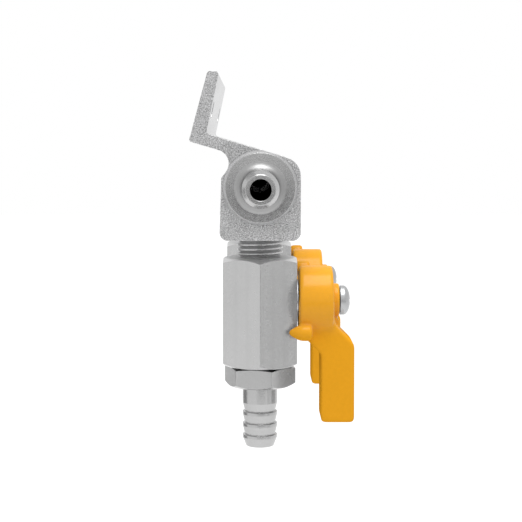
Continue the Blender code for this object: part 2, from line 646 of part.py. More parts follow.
def lever_outline():
    """Return the side view of the lever, which slants out from the hub and then runs straight down."""
    inner = HUB_START + LEVER_SETOUT
    outer = inner + LEVER_THICKNESS
    hub_inside = HUB_START + HUB_EDGE_RADIUS
    neck_inside = HUB_END - LEVER_SINK
    return round_outline([
        (inner, -LEVER_LENGTH, LEVER_END_RADIUS),
        (outer, -LEVER_LENGTH, LEVER_END_RADIUS),
        (outer, -LEVER_ELBOW, LEVER_ELBOW_RADIUS),
        (neck_inside, -LEVER_NECK_TOP, LEVER_NECK_RADIUS),
        (neck_inside, 0, 0),
        (hub_inside, 0, 0),
        (hub_inside, inner - hub_inside - LEVER_ARMPIT, 0),
        (inner, -LEVER_ARMPIT, LEVER_ELBOW_RADIUS),
    ])


def make_web():
    """Return the web under the boss, whose top falls away from the round of the boss."""
    low = -LEVER_ELBOW
    inside = HUB_END - OVERLAP
    outline = [(inside, low), (HUB_END, low), (BOSS_END, -LEVER_ELBOW + BOSS_HEIGHT),
               (BOSS_END, -WEB_TOP - WEB_DROP), (HUB_END, -WEB_TOP), (inside, -WEB_TOP)]
    return extrude(outline, -WEB_WIDTH / 2, WEB_WIDTH / 2, ALONG_Y)


def make_handle():
    """Return the cast lever handle: hub with boss, lever, web, stop lugs, and the stem and screw holes."""
    hub = round_outline([
        (0, HUB_START, 0), (HUB / 2, HUB_START, HUB_EDGE_RADIUS), (HUB / 2, HUB_END, HUB_EDGE_RADIUS),
        (BOSS / 2, HUB_END, 0), (BOSS / 2, BOSS_END, BOSS_EDGE_RADIUS), (0, BOSS_END, 0)],
        EDGE_STEPS)
    lever = extrude(lever_outline(), -LEVER_WIDTH / 2, LEVER_WIDTH / 2, ALONG_Y, LEVER_EDGE_RADIUS)
    radius = STEM / 2 - DRIVE_STEP + DRIVE_GAP
    socket = extrude(flatted_round(radius, DRIVE_FLATS + 2 * DRIVE_GAP), HUB_START - OVERLAP,
                     DRIVE_END + DRIVE_GAP, ALONG_X)
    hole_radius = SCREW / 2 + RUN_GAP
    hole = [(0, HUB_START), (hole_radius, HUB_START), (hole_radius, BOSS_END + OVERLAP),
            (0, BOSS_END + OVERLAP)]
    entry_radius = STEM / 2 + DRIVE_GAP
    entry = [(0, HUB_START - OVERLAP), (entry_radius, HUB_START - OVERLAP),
             (entry_radius, HUB_START + 2 * DRIVE_GAP), (0, HUB_START + 2 * DRIVE_GAP)]
    return combine(revolve(hub, ROUND, ALONG_X, "handle"), ("UNION", lever), ("UNION", make_web()),
                   ("UNION", make_lug(-1)), ("UNION", make_lug(1)), ("DIFFERENCE", socket),
                   ("DIFFERENCE", revolve(entry, FINE_ROUND, ALONG_X)),
                   ("DIFFERENCE", revolve(hole, FINE_ROUND, ALONG_X)))


def make_handle_screw():
    """Return the domed screw that holds the handle on the stem."""
    tip = SCREW_SEAT - SCREW_LENGTH
    head = SCREW_HEAD / 2
    side_end = SCREW_SEAT + SCREW_HEAD_SIDE
    angles = [math.pi / 2 * step / ARC_STEPS for step in range(ARC_STEPS)]
    dome = [(head * math.cos(angle), side_end + SCREW_DOME * math.sin(angle)) for angle in angles]
    profile = [(0, tip), (SCREW / 2 - THREAD_CHAMFER, tip), (SCREW / 2, tip + THREAD_CHAMFER),
               (SCREW / 2, SCREW_SEAT), (head, SCREW_SEAT), *dome, (0, side_end + SCREW_DOME)]
    return revolve(profile, FINE_ROUND, ALONG_X, "handle_screw")


def build_manifold(axis):
    """Place the bar and the pieces in its two ends."""
    place("manifold_bar", dress(make_bar(), "blasted_aluminium"), axis)
    place("inlet_hose_tail", dress(make_inlet_tail(), "nickel_plate"), axis)
    place("inlet_washer", dress(make_end_washer(-1, "inlet_washer"), "soft_washer"), axis)
    place("end_plug", dress(make_end_plug(), "nickel_plate"), axis)
    place("end_plug_washer", dress(make_end_washer(1, "end_plug_washer"), "soft_washer"), axis)


def build_valves(axis):
    """Place both valves; like pieces share one mesh, and each valve hangs on the centre of its ball."""
    pieces = {
        "valve_body": dress(make_valve_body(), "nickel_plate"),
        "hose_tail": dress(make_hose_tail(), "nickel_plate"),
        "tail_o_ring": dress(make_tail_ring(), "black_rubber"),
        "upper_seat": dress(make_seat(1, "upper_seat"), "white_seat"),
        "lower_seat": dress(make_seat(-1, "lower_seat"), "white_seat"),
        "ball": dress(make_ball(), "polished_ball"),
        "stem": dress(make_stem(), "nickel_plate"),
        "stem_washer": dress(make_stem_washer(), "white_seat"),
        "stem_o_ring": dress(make_stem_ring(), "black_rubber"),
        "handle": dress(make_handle(), "yellow_paint"),
        "handle_screw": dress(make_handle_screw(), "zinc_steel"),
    }
    for valve, side in (("front", -1), ("rear", 1)):
        centre = place_empty(valve + "_stem_axis", (0, side * VALVE_PITCH / 2, -STEM_DROP), axis)
        for piece, mesh in pieces.items():
            place(valve + "_" + piece, mesh, centre)


def main():
    """Build the whole manifold about the middle of its wall face."""
    clear_scene()
    bore_axis = place_empty("bore_axis", -wall_point())
    build_manifold(bore_axis)
    build_valves(bore_axis)


if __name__ == "__main__":
    main()
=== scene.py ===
"""Finished surfaces of a two-outlet wall manifold with quarter-turn ball valves.

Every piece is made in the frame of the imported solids, in metres.  X points away from the wall, Y runs
along the bar from the inlet to the plugged end, and Z points up.
"""

import json
import math

import bmesh
import bpy
from bpy.props import FloatProperty, FloatVectorProperty, IntProperty, PointerProperty
from bpy.types import Operator, Panel, PropertyGroup
from mathutils import Matrix, Vector


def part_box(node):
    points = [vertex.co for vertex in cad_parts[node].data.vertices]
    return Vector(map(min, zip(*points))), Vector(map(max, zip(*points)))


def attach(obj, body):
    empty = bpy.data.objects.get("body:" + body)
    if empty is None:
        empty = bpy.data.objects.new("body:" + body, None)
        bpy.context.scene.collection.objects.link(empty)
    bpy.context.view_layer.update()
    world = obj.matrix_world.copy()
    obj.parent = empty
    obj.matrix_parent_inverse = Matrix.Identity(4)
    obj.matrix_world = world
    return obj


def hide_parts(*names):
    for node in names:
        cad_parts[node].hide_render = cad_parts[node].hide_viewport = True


bl_info = {
    "name": "Wall manifold finisher",
    "version": (1, 0, 0),
    "blender": (4, 5, 0),
    "location": "3D View > Sidebar > Manifold",
    "description": "Makes the finished surfaces of a wall manifold with two ball valves",
    "category": "Object",
}

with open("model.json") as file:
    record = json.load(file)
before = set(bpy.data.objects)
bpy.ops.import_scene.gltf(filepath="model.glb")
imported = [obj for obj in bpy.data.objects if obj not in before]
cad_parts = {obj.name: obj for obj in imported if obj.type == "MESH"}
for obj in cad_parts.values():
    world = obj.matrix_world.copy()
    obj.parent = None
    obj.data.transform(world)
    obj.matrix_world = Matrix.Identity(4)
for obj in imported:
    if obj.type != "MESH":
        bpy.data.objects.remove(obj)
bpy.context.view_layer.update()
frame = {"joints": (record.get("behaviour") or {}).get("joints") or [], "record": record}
MM = 0.001

# Places that the frame gives
BODY_OF = {node: body for body, nodes in frame["record"]["behaviour"]["bodies"].items() for node in nodes}
SLOT_OF = {part["node"]: part["material_slot"] for part in frame["record"]["subparts"]}
STEM_AXES = {joint["child"].split("_")[0]: Vector(joint["pos_m"]) for joint in frame["joints"]}
INLET_LOW, INLET_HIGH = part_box("inlet_hose_tail")
PLUG_LOW, PLUG_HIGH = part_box("end_plug")
BORE = Vector(((INLET_LOW.x + INLET_HIGH.x) / 2, 0, (INLET_LOW.z + INLET_HIGH.z) / 2))
BAR_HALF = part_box("manifold_bar")[1].y

# Fineness of the meshes
SEGMENTS = 128                    # facets round a turned piece
ARC_STEP = math.radians(7.5)      # turn of one facet in a rounded corner
THREAD_COLUMNS = 96
THREAD_ROWS = 16                  # rows of facets in one pitch
THREAD_FLANK = 0.6                # over a half, the crests of a thread are flat
MERGE = 0.0005 * MM
SHARP = math.radians(24)
PAST = 0.5 * MM                   # how far cutters and joined shapes reach past a face
ALL_BUT_ROUND = 0.999             # edge radius of an O-ring, as a share that leaves its corners apart
SCREW_SPARE = 1.0 * MM            # depth of a screw's hole past its tip
RECESS_WAIST = 0.125              # half width of a cross recess's arms, as a share of the recess
RECESS_TAPER = 0.45               # size of a cross recess at its bottom, as a share of its mouth
SPARE_CELLS = 4                   # cells round the casting in its grid
LIP_STEPS = 12                    # facets across the hollow of a seat
DOME_STEPS = 16                   # facets from the side of a screw's dome to its top
HALF_PI = math.pi / 2
LUG_CONE = math.pi / 6            # half angle of a lug's pointed nose
WHITE = (1.0, 1.0, 1.0, 1.0)
CLIP_START = 10 * MM              # nearest distance that the camera sees

# Turns that lay a shape's own Z axis on an axis of the part
UP = Matrix.Identity(4)
DOWN = Matrix.Rotation(math.pi, 4, "X")
OUT_OF_WALL = Matrix.Rotation(HALF_PI, 4, "Y")
TO_INLET = Matrix.Rotation(HALF_PI, 4, "X")
TO_PLUG = Matrix.Rotation(-HALF_PI, 4, "X")
SWAP_YZ = Matrix(((1, 0, 0, 0), (0, 0, 1, 0), (0, 1, 0, 0), (0, 0, 0, 1)))


def size(name, millimetres, description):
    """Return a length that a user can change."""
    return FloatProperty(name=name, description=description, default=millimetres * MM, min=0.0,
                         precision=5, unit="LENGTH")


def turn(name, degrees, description):
    """Return an angle that a user can change."""
    return FloatProperty(name=name, description=description, default=math.radians(degrees),
                         subtype="ANGLE", unit="ROTATION")


def strength(name, value, description):
    """Return a strength up to one that a user can change."""
    return FloatProperty(name=name, description=description, default=value, min=0.0, max=1.0,
                         subtype="FACTOR")


def spot(name, place, description):
    """Return a place that a user can change."""
    return FloatVectorProperty(name=name, description=description, default=place, subtype="TRANSLATION",
                               unit="LENGTH", precision=5)


def colour(name, rgb, description):
    """Return a colour that a user can change."""
    return FloatVectorProperty(name=name, description=description, default=rgb, size=3, min=0.0, max=1.0,
                               subtype="COLOR")


class BarSizes(PropertyGroup):
    """Sizes of the bar and its flange, measured from the axis of the bore."""

    left: size("Left side", 11.3, "Bore axis to the side next to the wall")
    right: size("Right side", 11.2, "Bore axis to the side under the levers")
    underside: size("Underside", 14.8, "Bore axis to the underside")
    foot_radius: size("Foot radius", 2.3, "Rounding of the two lower edges")
    shoulder_radius: size("Shoulder radius", 5.5, "Rounding of the upper edge above the levers")
    bore: size("Bore", 8.5, "Diameter of the bore along the bar")
    spot_face: size("Spot face", 20.6, "Diameter of the turned recess at each end")
    spot_depth: size("Spot depth", 0.6, "Depth of the turned recess at each end")
    port_drill: size("Port drill", 6.5, "Diameter of the passage from the bore to a valve")
    root_height: size("Root height", 2.6, "Height at which the left side turns in towards the arm")
    root_setback: size("Root setback", 0.55, "How far the side leans in up to that height")
    root_slope: turn("Root slope", 52.7, "Slope of the side under the arm")
    root_radius: size("Root radius", 3.8, "Hollow rounding under the arm")
    root_edge_radius: size("Root edge radius", 1.0, "Rounding where the side turns in")
    arm_top: size("Arm top", 10.4, "Height of the arm's upper face over the bore axis")
    arm_slope: turn("Arm slope", 16.6, "Slope of the arm")
    arm_thickness: size("Arm thickness", 3.45, "Thickness of the arm")
    flange_reach: size("Flange reach", 19.7, "Bore axis to the outer corner of the flange")
    flange_length: size("Flange length", 20.0, "Length of the face that lies on the wall")
    flange_lean: turn("Flange lean", 15.1, "Lean of the face that lies on the wall")
    flange_inner_lean: turn("Flange inner lean", 11.9, "Lean of the flange's other face")
    flange_tip: size("Flange tip", 3.2, "Width of the tip")
    tip_radius: size("Tip radius", 1.0, "Rounding of the tip and of the inner corner")
    corner_radius: size("Corner radius", 0.8, "Rounding of the outer corner")
    hole: size("Screw hole", 5.2, "Diameter of the two wall screw holes")
    hole_spacing: size("Screw hole spacing", 66.0, "Distance between the wall screw holes")
    end_edge: size("End edge", 0.16, "Rounding that the blasting leaves on the sawn ends")
    hole_edge: size("Hole edge", 0.35, "Countersink at the mouth of each hole")


class ThreadSizes(PropertyGroup):
    """Sizes of the three kinds of thread."""

    pipe: size("Pipe thread", 13.16, "Outer diameter of the pipe threads")
    pipe_pitch: size("Pipe pitch", 1.337, "Pitch of the pipe threads")
    pipe_depth: size("Pipe depth", 0.86, "Depth of the pipe threads")
    tail: size("Tail thread", 16.0, "Outer diameter of the thread that joins tail and body")
    tail_pitch: size("Tail pitch", 1.0, "Pitch of the tail thread")
    tail_depth: size("Tail depth", 0.6, "Depth of the tail thread")
    screw: size("Screw thread", 3.8, "Outer diameter of the handle screw's thread")
    screw_pitch: size("Screw pitch", 0.7, "Pitch of the handle screw's thread")
    screw_depth: size("Screw depth", 0.42, "Depth of the handle screw's thread")
    chamfer: size("Chamfer", 0.4, "Chamfer at the mouth of a threaded hole")
    gap: size("Thread gap", 0.3, "Radial gap between a thread and its hole")
    seat_gap: size("Seat gap", 0.25, "Gap between faces that rest on each other")


class BarbSizes(PropertyGroup):
    """Sizes of the hose barb, the same on all three tails."""

    stem: size("Stem", 10.0, "Diameter of the plain stretch")
    stem_length: size("Stem length", 4.9, "Length of the plain stretch")
    neck: size("Neck", 8.8, "Diameter between the ridges")
    lead: size("Lead", 2.4, "Length of the taper to the first neck")
    ridge: size("Ridge", 9.9, "Diameter of the ridges")
    land: size("Land", 0.85, "Width of a ridge")
    step: size("Step", 0.15, "Length of the steep side of a ridge")
    pitch: size("Ridge pitch", 3.35, "Distance from ridge to ridge")
    ridges: IntProperty(name="Ridges", description="Number of ridges", default=3, min=1)
    nose: size("Nose", 8.1, "Diameter of the open end")
    bore: size("Hose bore", 5.6, "Diameter of the bore")
    mouth: size("Mouth", 0.15, "Chamfer of the open end")
    edge: size("Edge", 0.12, "Rounding of turned edges")


class EndSizes(PropertyGroup):
    """Sizes of the pieces in the two ends of the bar."""

    thread_length: size("Thread length", 6.0, "Length of thread in the bar")
    washer_thickness: size("Washer thickness", 1.2, "Thickness of the sealing washers")
    collar: size("Inlet collar", 19.1, "Diameter of the inlet tail's collar")
    collar_thickness: size("Inlet collar thickness", 3.5, "Thickness of the inlet tail's collar")
    root_radius: size("Inlet root radius", 2.4, "Hollow curve between collar and barb")
    plug_collar: size("Plug collar", 18.0, "Diameter of the plug's collar")
    plug_thickness: size("Plug collar thickness", 3.0, "Thickness of the plug's collar")
    socket: size("Plug socket", 6.0, "Hexagon socket across its flats")
    socket_depth: size("Plug socket depth", 4.5, "Depth of the hexagon socket")


class BodySizes(PropertyGroup):
    """Sizes of a valve body and its outlet tail, measured from the centre of the ball."""

    flats: size("Body hexagon", 21.0, "Body hexagon across its flats")
    top: size("Top", 12.4, "Ball centre to the top of the hexagon")
    bottom: size("Bottom", 18.6, "Ball centre to the underside of the hexagon")
    corner: size("Corner radius", 0.22, "Rounding of the drawn hexagon bar's corners")
    chamfer_inset: size("Chamfer inset", 0.8, "Flats less the flat end inside the corner chamfer")
    chamfer_slope: turn("Chamfer slope", 30.0, "Slope of the corner chamfer")
    neck_shown: size("Neck shown", 5.7, "Thread left open between hexagon and bar")
    neck_engaged: size("Neck engaged", 7.9, "Thread inside the bar")
    undercut: size("Undercut", 0.3, "Plain stretch between a thread and the face next to it")
    pad: size("Stem pad", 12.0, "Diameter of the turned pad round the stem")
    pad_height: size("Stem pad height", 0.4, "Height of the turned pad")
    bore: size("Flow bore", 6.0, "Diameter of the passage through seats and ball")
    cavity: size("Chamber", 13.2, "Diameter of the ball chamber")
    pocket: size("Seat pocket", 12.1, "Diameter of a seat's pocket")
    pocket_rim: size("Pocket rim", 4.95, "Ball centre to the rim of a seat pocket")
    pocket_end: size("Pocket end", 7.663, "Ball centre to the bottom of a seat pocket")
    tail_flats: size("Tail hexagon", 18.0, "Tail hexagon across its flats")
    tail_flange: size("Tail hexagon height", 5.7, "Height of the tail hexagon")
    tail_slope: turn("Tail slope", 15.0, "Slope of the corner chamfer under the body")
    tail_turn: turn("Tail turn", 18.7, "How far the tail's hexagon stands turned from the body's")
    ring_section: size("Tail ring", 1.0, "Thickness of the tail's O-ring")
    ring_groove: size("Tail ring groove", 1.6, "Width of the O-ring's groove")
    ring_inset: size("Tail ring inset", 0.9, "Underside of the body to the groove")


class TrimSizes(PropertyGroup):
    """Sizes of the ball, its seats and the stem, measured from the centre of the ball."""

    ball: size("Ball", 12.0, "Diameter of the ball")
    slot: size("Ball slot", 2.6, "Width of the slot for the tang")
    slot_depth: size("Ball slot depth", 1.9, "Depth of the slot for the tang")
    seat: size("Seat", 11.6, "Outer diameter of a seat")
    seat_lip: size("Seat lip", 1.3, "Width of the ring that bears on the ball")
    seat_thickness: size("Seat thickness", 2.8, "Thickness of a seat")
    run_gap: size("Running gap", 0.3, "Gap between turning and fixed pieces")
    drive_gap: size("Drive gap", 0.25, "Gap between the stem and what it turns")
    stem: size("Stem", 6.3, "Diameter of the stem")
    collar: size("Stem collar", 8.1, "Diameter of the stem's thrust collar")
    collar_thickness: size("Stem collar thickness", 1.0, "Thickness of the thrust collar")
    tang: size("Tang", 2.1, "Thickness of the tang in the ball")
    washer: size("Stem washer", 0.6, "Thickness of the thrust washer")
    ring_section: size("Stem ring", 1.0, "Thickness of the stem's O-ring")
    ring_groove: size("Stem ring groove", 1.5, "Width of the O-ring's groove")
    drive: size("Drive end", 6.0, "Diameter of the flatted end")
    drive_flats: size("Drive flats", 4.2, "Flatted end across its flats")
    drive_length: size("Drive length", 8.0, "Length of the flatted end in the hub")


class HandleSizes(PropertyGroup):
    """Sizes of a lever handle, measured along the stem from the centre of the ball."""

    hub_start: size("Hub start", 11.2, "Ball centre to the hub")
    hub: size("Hub", 19.8, "Diameter of the hub")
    hub_length: size("Hub length", 9.6, "Length of the hub")
    hub_edge: size("Hub edge", 0.9, "Rounding of the hub's edges")
    boss: size("Boss", 9.6, "Diameter of the boss under the screw")
    boss_height: size("Boss height", 1.9, "Height of the boss")
    boss_edge: size("Boss edge", 0.5, "Rounding of the boss")
    lug: size("Lug", 4.6, "Diameter of a stop lug")
    lug_offset: size("Lug offset", 8.3, "Stem axis to a lug's axis, in Y and in Z")
    lug_nose: size("Lug nose", 8.2, "Ball centre to the tip of a lug")
    lug_root: size("Lug root", 3.5, "Length of a lug along the hub")
    lug_root_radius: size("Lug root radius", 0.9, "Rounding of a lug's end on the hub")
    width: size("Lever width", 13.0, "Width of the lever")
    thickness: size("Lever thickness", 9.5, "Thickness of the lever")
    length: size("Lever length", 34.3, "Stem axis to the end of the lever")
    setout: size("Lever setout", 6.1, "Inner face of the hub to the inner face of the lever")
    neck_top: size("Neck top", 5.9, "Stem axis to where the outer slope leaves the hub")
    elbow: size("Elbow", 11.9, "Stem axis to the end of the outer slope")
    armpit: size("Armpit", 14.7, "Stem axis to the end of the inner slope")
    elbow_radius: size("Elbow radius", 3.0, "Rounding of the elbow and the armpit")
    neck_radius: size("Neck radius", 6.0, "Hollow curve between hub and outer slope")
    end_radius: size("End radius", 1.2, "Rounding of the lever's end")
    edge: size("Lever edge", 0.8, "Rounding of the lever's long edges")
    web: size("Web", 6.0, "Width of the web between boss and slope")
    web_top: size("Web top", 4.2, "Stem axis to the top of the web at the hub")
    web_drop: size("Web drop", 1.2, "How far the web's top falls towards the face of the boss")
    fillet: size("Casting fillet", 0.7, "Fillet where the shapes of the casting meet")
    cell: size("Cell", 0.2, "Cell of the grid in which the casting is worked out")


class ScrewSizes(PropertyGroup):
    """Sizes of a handle screw."""

    length: size("Screw length", 8.5, "Length of the screw under its head")
    head: size("Screw head", 8.4, "Diameter of the screw head")
    head_side: size("Screw head side", 1.0, "Height of the head's straight side")
    dome: size("Screw dome", 1.9, "Height of the head's dome")
    recess: size("Cross recess", 4.6, "Width of the cross recess")
    recess_depth: size("Cross recess depth", 2.0, "Depth of the cross recess")


class FinishColours(PropertyGroup):
    """Colours of the finishes."""

    blasted: colour("Blasted bar", (0.46, 0.46, 0.463), "Blasted metal of the bar")
    nickel: colour("Nickel plate", (0.43, 0.43, 0.43), "Satin nickel plate of the fittings")
    yellow: colour("Yellow paint", (0.80, 0.36, 0.018), "Gloss paint of the levers")
    zinc: colour("Zinc plate", (0.43, 0.435, 0.44), "Bright zinc plate of the screws")
    chrome: colour("Polished ball", (0.66, 0.66, 0.66), "Polished plate of the balls")
    seat: colour("Seat", (0.86, 0.86, 0.84), "White plastic of the seats")
    rubber: colour("Rubber", (0.02, 0.02, 0.02), "Black rubber of the O-rings")
    washer: colour("Soft washer", (0.56, 0.56, 0.57), "Soft metal of the sealing washers")


class StageSettings(PropertyGroup):
    """Camera and light."""

    eye: spot("Eye", (0.01527, -0.40475, -0.0106), "Place of the camera")
    look: FloatVectorProperty(name="Look", description="Direction of the view", subtype="DIRECTION",
                              default=(-0.00055, 1.0, -0.04898))
    lens: FloatProperty(name="Lens", description="Focal length", default=90.23, min=1.0, unit="CAMERA")
    shift: FloatVectorProperty(name="Shift", description="Shift of the picture, as a share of its width",
                               size=2, default=(0.0155, -0.1))
    floor_drop: size("Floor drop", 250.0, "Wall point to the floor")
    floor_width: size("Floor width", 8000.0, "Width of the floor")
    floor_grey: strength("Floor grey", 0.8, "Brightness of the floor's paint")
    floor_glow: strength("Floor glow", 0.42, "What the floor adds to look white")
    ambient: strength("Ambient", 0.82, "Strength of the white surround on matt surfaces")
    key: FloatProperty(name="Key light", description="Power of the soft box above", default=2.45, min=0.0,
                       unit="POWER")
    key_place: spot("Soft box", (0.05, -0.17, 0.5), "Middle of the soft box")
    key_width: size("Soft box width", 340.0, "Width of the soft box")
    key_depth: size("Soft box depth", 400.0, "Depth of the soft box")
    key_aim: spot("Soft box aim", (0.0, 0.0, -0.04), "Point that the soft box faces")
    dark_place: spot("Dark card", (0.19, -1.1, -0.255), "Middle of the card that the turned ends mirror")
    dark_width: size("Dark card width", 1220.0, "Width of the dark card")
    dark_height: size("Dark card height", 390.0, "Height of the dark card")
    dark_grey: strength("Dark card grey", 0.03, "Brightness of the dark card")
    pale_place: spot("Pale card", (0.55, -0.34, -0.15), "Middle of the card that the right flats mirror")
    pale_width: size("Pale card width", 260.0, "Width of the pale card")
    pale_height: size("Pale card height", 240.0, "Height of the pale card")
    pale_grey: strength("Pale card grey", 0.8, "Brightness of the pale card")
    back_place: spot("Back card", (-0.425, 0.215, -0.166),
                     "Middle of the card that the nut's left flat mirrors")
    back_width: size("Back card width", 420.0, "Width of the back card")
    back_height: size("Back card height", 360.0, "Height of the back card")
    back_grey: strength("Back card grey", 0.38, "Brightness of the back card")


class ManifoldSettings(PropertyGroup):
    """All settings of the manifold."""

    bar: PointerProperty(type=BarSizes)
    thread: PointerProperty(type=ThreadSizes)
    barb: PointerProperty(type=BarbSizes)
    ends: PointerProperty(type=EndSizes)
    body: PointerProperty(type=BodySizes)
    trim: PointerProperty(type=TrimSizes)
    handle: PointerProperty(type=HandleSizes)
    screw: PointerProperty(type=ScrewSizes)
    colours: PointerProperty(type=FinishColours)
    stage: PointerProperty(type=StageSettings)


# Shapes

def rounded(corners):
    """Return a closed outline through (x, y) corners, and round those that have a radius as a third value."""
    outline = []
    for index, (x, y, *edge) in enumerate(corners):
        corner = Vector((x, y))
        radius = sum(edge)
        if not radius:
            outline.append(corner)
            continue
        back = (Vector(corners[index - 1][:2]) - corner).normalized()
        ahead = (Vector(corners[(index + 1) % len(corners)][:2]) - corner).normalized()
        half = back.angle(ahead) / 2
        centre = corner + (back + ahead).normalized() * radius / math.sin(half)
        start = corner + back * radius / math.tan(half) - centre
        end = corner + ahead * radius / math.tan(half) - centre
        sweep = math.copysign(math.pi - 2 * half, start.cross(end))
        steps = max(2, math.ceil(abs(sweep) / ARC_STEP))
        outline += [centre + Matrix.Rotation(sweep * step / steps, 2) @ start for step in range(steps + 1)]
    return outline


def closed_mesh(shape, place):
    """Turn a bmesh into a mesh in its place, with its faces pointing out."""
    bmesh.ops.remove_doubles(shape, verts=shape.verts, dist=MERGE)
    bmesh.ops.recalc_face_normals(shape, faces=shape.faces)
    shape.transform(place)
    mesh = bpy.data.meshes.new("shape")
    shape.to_mesh(mesh)
    shape.free()
    return mesh


def turned(corners, place=UP):
    """Turn a closed profile about Z, given by corners of a radius, a height and perhaps an edge radius."""
    shape = bmesh.new()
    rim = [shape.verts.new((point.x, 0, point.y)) for point in rounded(corners)]
    pairs = zip(rim, rim[1:] + rim[:1])
    edges = [shape.edges.new(pair) for pair in pairs if max(pair[0].co.x, pair[1].co.x) > 0]
    bmesh.ops.spin(shape, geom=rim + edges, cent=(0, 0, 0), axis=(0, 0, 1), angle=math.tau,
                   steps=SEGMENTS, use_merge=True, use_duplicate=False)
    return closed_mesh(shape, place)


def turned_solid(corners, place=UP):
    """Turn a profile about Z after leading both of its ends straight to the axis."""
    return turned([(0, corners[0][1]), *corners, (0, corners[-1][1])], place)


def pushed(outline, start, end, place=UP, edge=0.0, taper=1.0):
    """Push an outline along Z, with the edges of both ends rounded or the far end drawn in on request."""
    shape = bmesh.new()
    face = shape.faces.new([shape.verts.new((x, y, start)) for x, y in outline])
    moved = bmesh.ops.extrude_face_region(shape, geom=[face], use_keep_orig=True)
    far = [item for item in moved["geom"] if isinstance(item, bmesh.types.BMVert)]
    bmesh.ops.translate(shape, verts=far, vec=(0, 0, end - start))
    bmesh.ops.scale(shape, verts=far, vec=(taper, taper, 1))
    if edge:
        rims = [line for line in shape.edges if line.verts[0].co.z == line.verts[1].co.z]
        bmesh.ops.bevel(shape, geom=rims, offset=edge, segments=3, profile=0.5, affect="EDGES")
    return closed_mesh(shape, place)


def combined(base, *steps):
    """Return a mesh after boolean steps, each one an operation and the mesh that it uses."""
    carrier = bpy.data.objects.new("carrier", base)
    helpers = [carrier]
    for operation, mesh in steps:
        tool = bpy.data.objects.new("tool", mesh)
        helpers.append(tool)
        change = carrier.modifiers.new(operation, "BOOLEAN")
        change.operation = operation
        change.solver = "MANIFOLD"
        change.object = tool
    for helper in helpers:
        bpy.context.scene.collection.objects.link(helper)
    result = bmesh.new()
    result.from_object(carrier, bpy.context.evaluated_depsgraph_get())
    for helper in helpers:
        bpy.data.objects.remove(helper)
    return closed_mesh(result, UP)


def moved(mesh, place):
    """Return a copy of a mesh in another place."""
    copy = mesh.copy()
    copy.transform(place)
    return copy


def corner_reach(flats):
    """Return how far the corners of a hexagon lie from its centre."""
    return flats / 2 / math.cos(math.pi / 6)


def hexagon(flats, corner_angle, corner_radius=0.0):
    """Return the outline of a hexagon with one corner at the given angle."""
    reach = corner_reach(flats)
    angles = [corner_angle + math.tau * side / 6 for side in range(6)]
    return rounded([(reach * math.cos(angle), reach * math.sin(angle), corner_radius) for angle in angles])


def chamfered_hexagon(body, flats, corner_angle, bottom, top, *slopes):
    """Return a length of hexagon bar whose corners are turned off at both ends, each by its slope."""
    reach = corner_reach(flats) + PAST
    face = (flats - body.chamfer_inset) / 2
    low, high = ((reach - face) * math.tan(slope) for slope in slopes)
    edge = body.corner
    envelope = turned_solid([(face, bottom, edge), (reach, bottom + low), (reach, top - high),
                             (face, top, edge)])
    bar = pushed(hexagon(flats, corner_angle, body.corner), bottom - PAST, top + PAST)
    return combined(bar, ("INTERSECT", envelope))


def flatted_round(diameter, flats):
    """Return the outline of a round bar with two flats square to its second axis."""
    radius = diameter / 2
    edge = math.asin(flats / diameter)
    steps = math.ceil(2 * edge / ARC_STEP)
    sweep = [2 * edge * step / steps - edge for step in range(steps + 1)]
    right = [Vector((radius * math.cos(angle), radius * math.sin(angle))) for angle in sweep]
    return right + [-point for point in right]


def cross_lines(point, slope, other, other_slope):
    """Return where two lines meet, each given by a point and its angle."""
    ahead = Vector((math.cos(slope), math.sin(slope)))
    other_ahead = Vector((math.cos(other_slope), math.sin(other_slope)))
    reach = (Vector(other) - Vector(point)).cross(other_ahead) / ahead.cross(other_ahead)
    return Vector(point) + ahead * reach


# Node trees

class Term:
    """A value in a node tree; sums written with it become Math nodes."""

    def __init__(self, tree, socket):
        self.tree = tree
        self.socket = socket

    def reckon(self, operation, *others):
        """Return the result of one Math node."""
        node = self.tree.nodes.new("ShaderNodeMath")
        node.operation = operation
        for socket, value in zip(node.inputs, (self, *others)):
            connect(self.tree, value, socket)
        return Term(self.tree, node.outputs[0])

    def __add__(self, other):
        return self.reckon("ADD", other)

    def __sub__(self, other):
        return self.reckon("SUBTRACT", other)

    def __rsub__(self, other):
        return self.reckon("MULTIPLY_ADD", -1.0, other)

    def __mul__(self, other):
        return self.reckon("MULTIPLY", other)

    def __truediv__(self, other):
        return self.reckon("DIVIDE", other)

    def __abs__(self):
        return self.reckon("ABSOLUTE")

    def both(self, other, edge=0.0):
        """Return the shape that two shapes share, with the edge between them rounded."""
        return self.reckon("SMOOTH_MAX", other, edge)

    def either(self, other, fillet=0.0):
        """Return two shapes joined, with a fillet between them."""
        return self.reckon("SMOOTH_MIN", other, fillet)

    def within(self):
        """Return the value, kept from nought to one."""
        return self.reckon("MAXIMUM", 0.0).reckon("MINIMUM", 1.0)

    def ramp(self, width, start=None):
        """Return a rise from nought to one over a width, or from a start of its own."""
        rise = self * (1 / width)
        return (rise if start is None else rise + start).within()

    def beside(self, other):
        """Return the distance from the point where both values are nought."""
        return (self * self + other * other).reckon("SQRT")


def connect(tree, value, socket):
    """Lead a term, a socket or a plain value into a socket."""
    if isinstance(value, Term):
        value = value.socket
    if isinstance(value, bpy.types.NodeSocket):
        tree.links.new(value, socket)
    else:
        socket.default_value = value


def add_node(tree, kind, inputs=(), **settings):
    """Add a node with its settings and its inputs, given by name or number."""
    node = tree.nodes.new(kind)
    for name, value in settings.items():
        setattr(node, name, value)
    for key, value in dict(inputs).items():
        connect(tree, value, node.inputs[key])
    return node


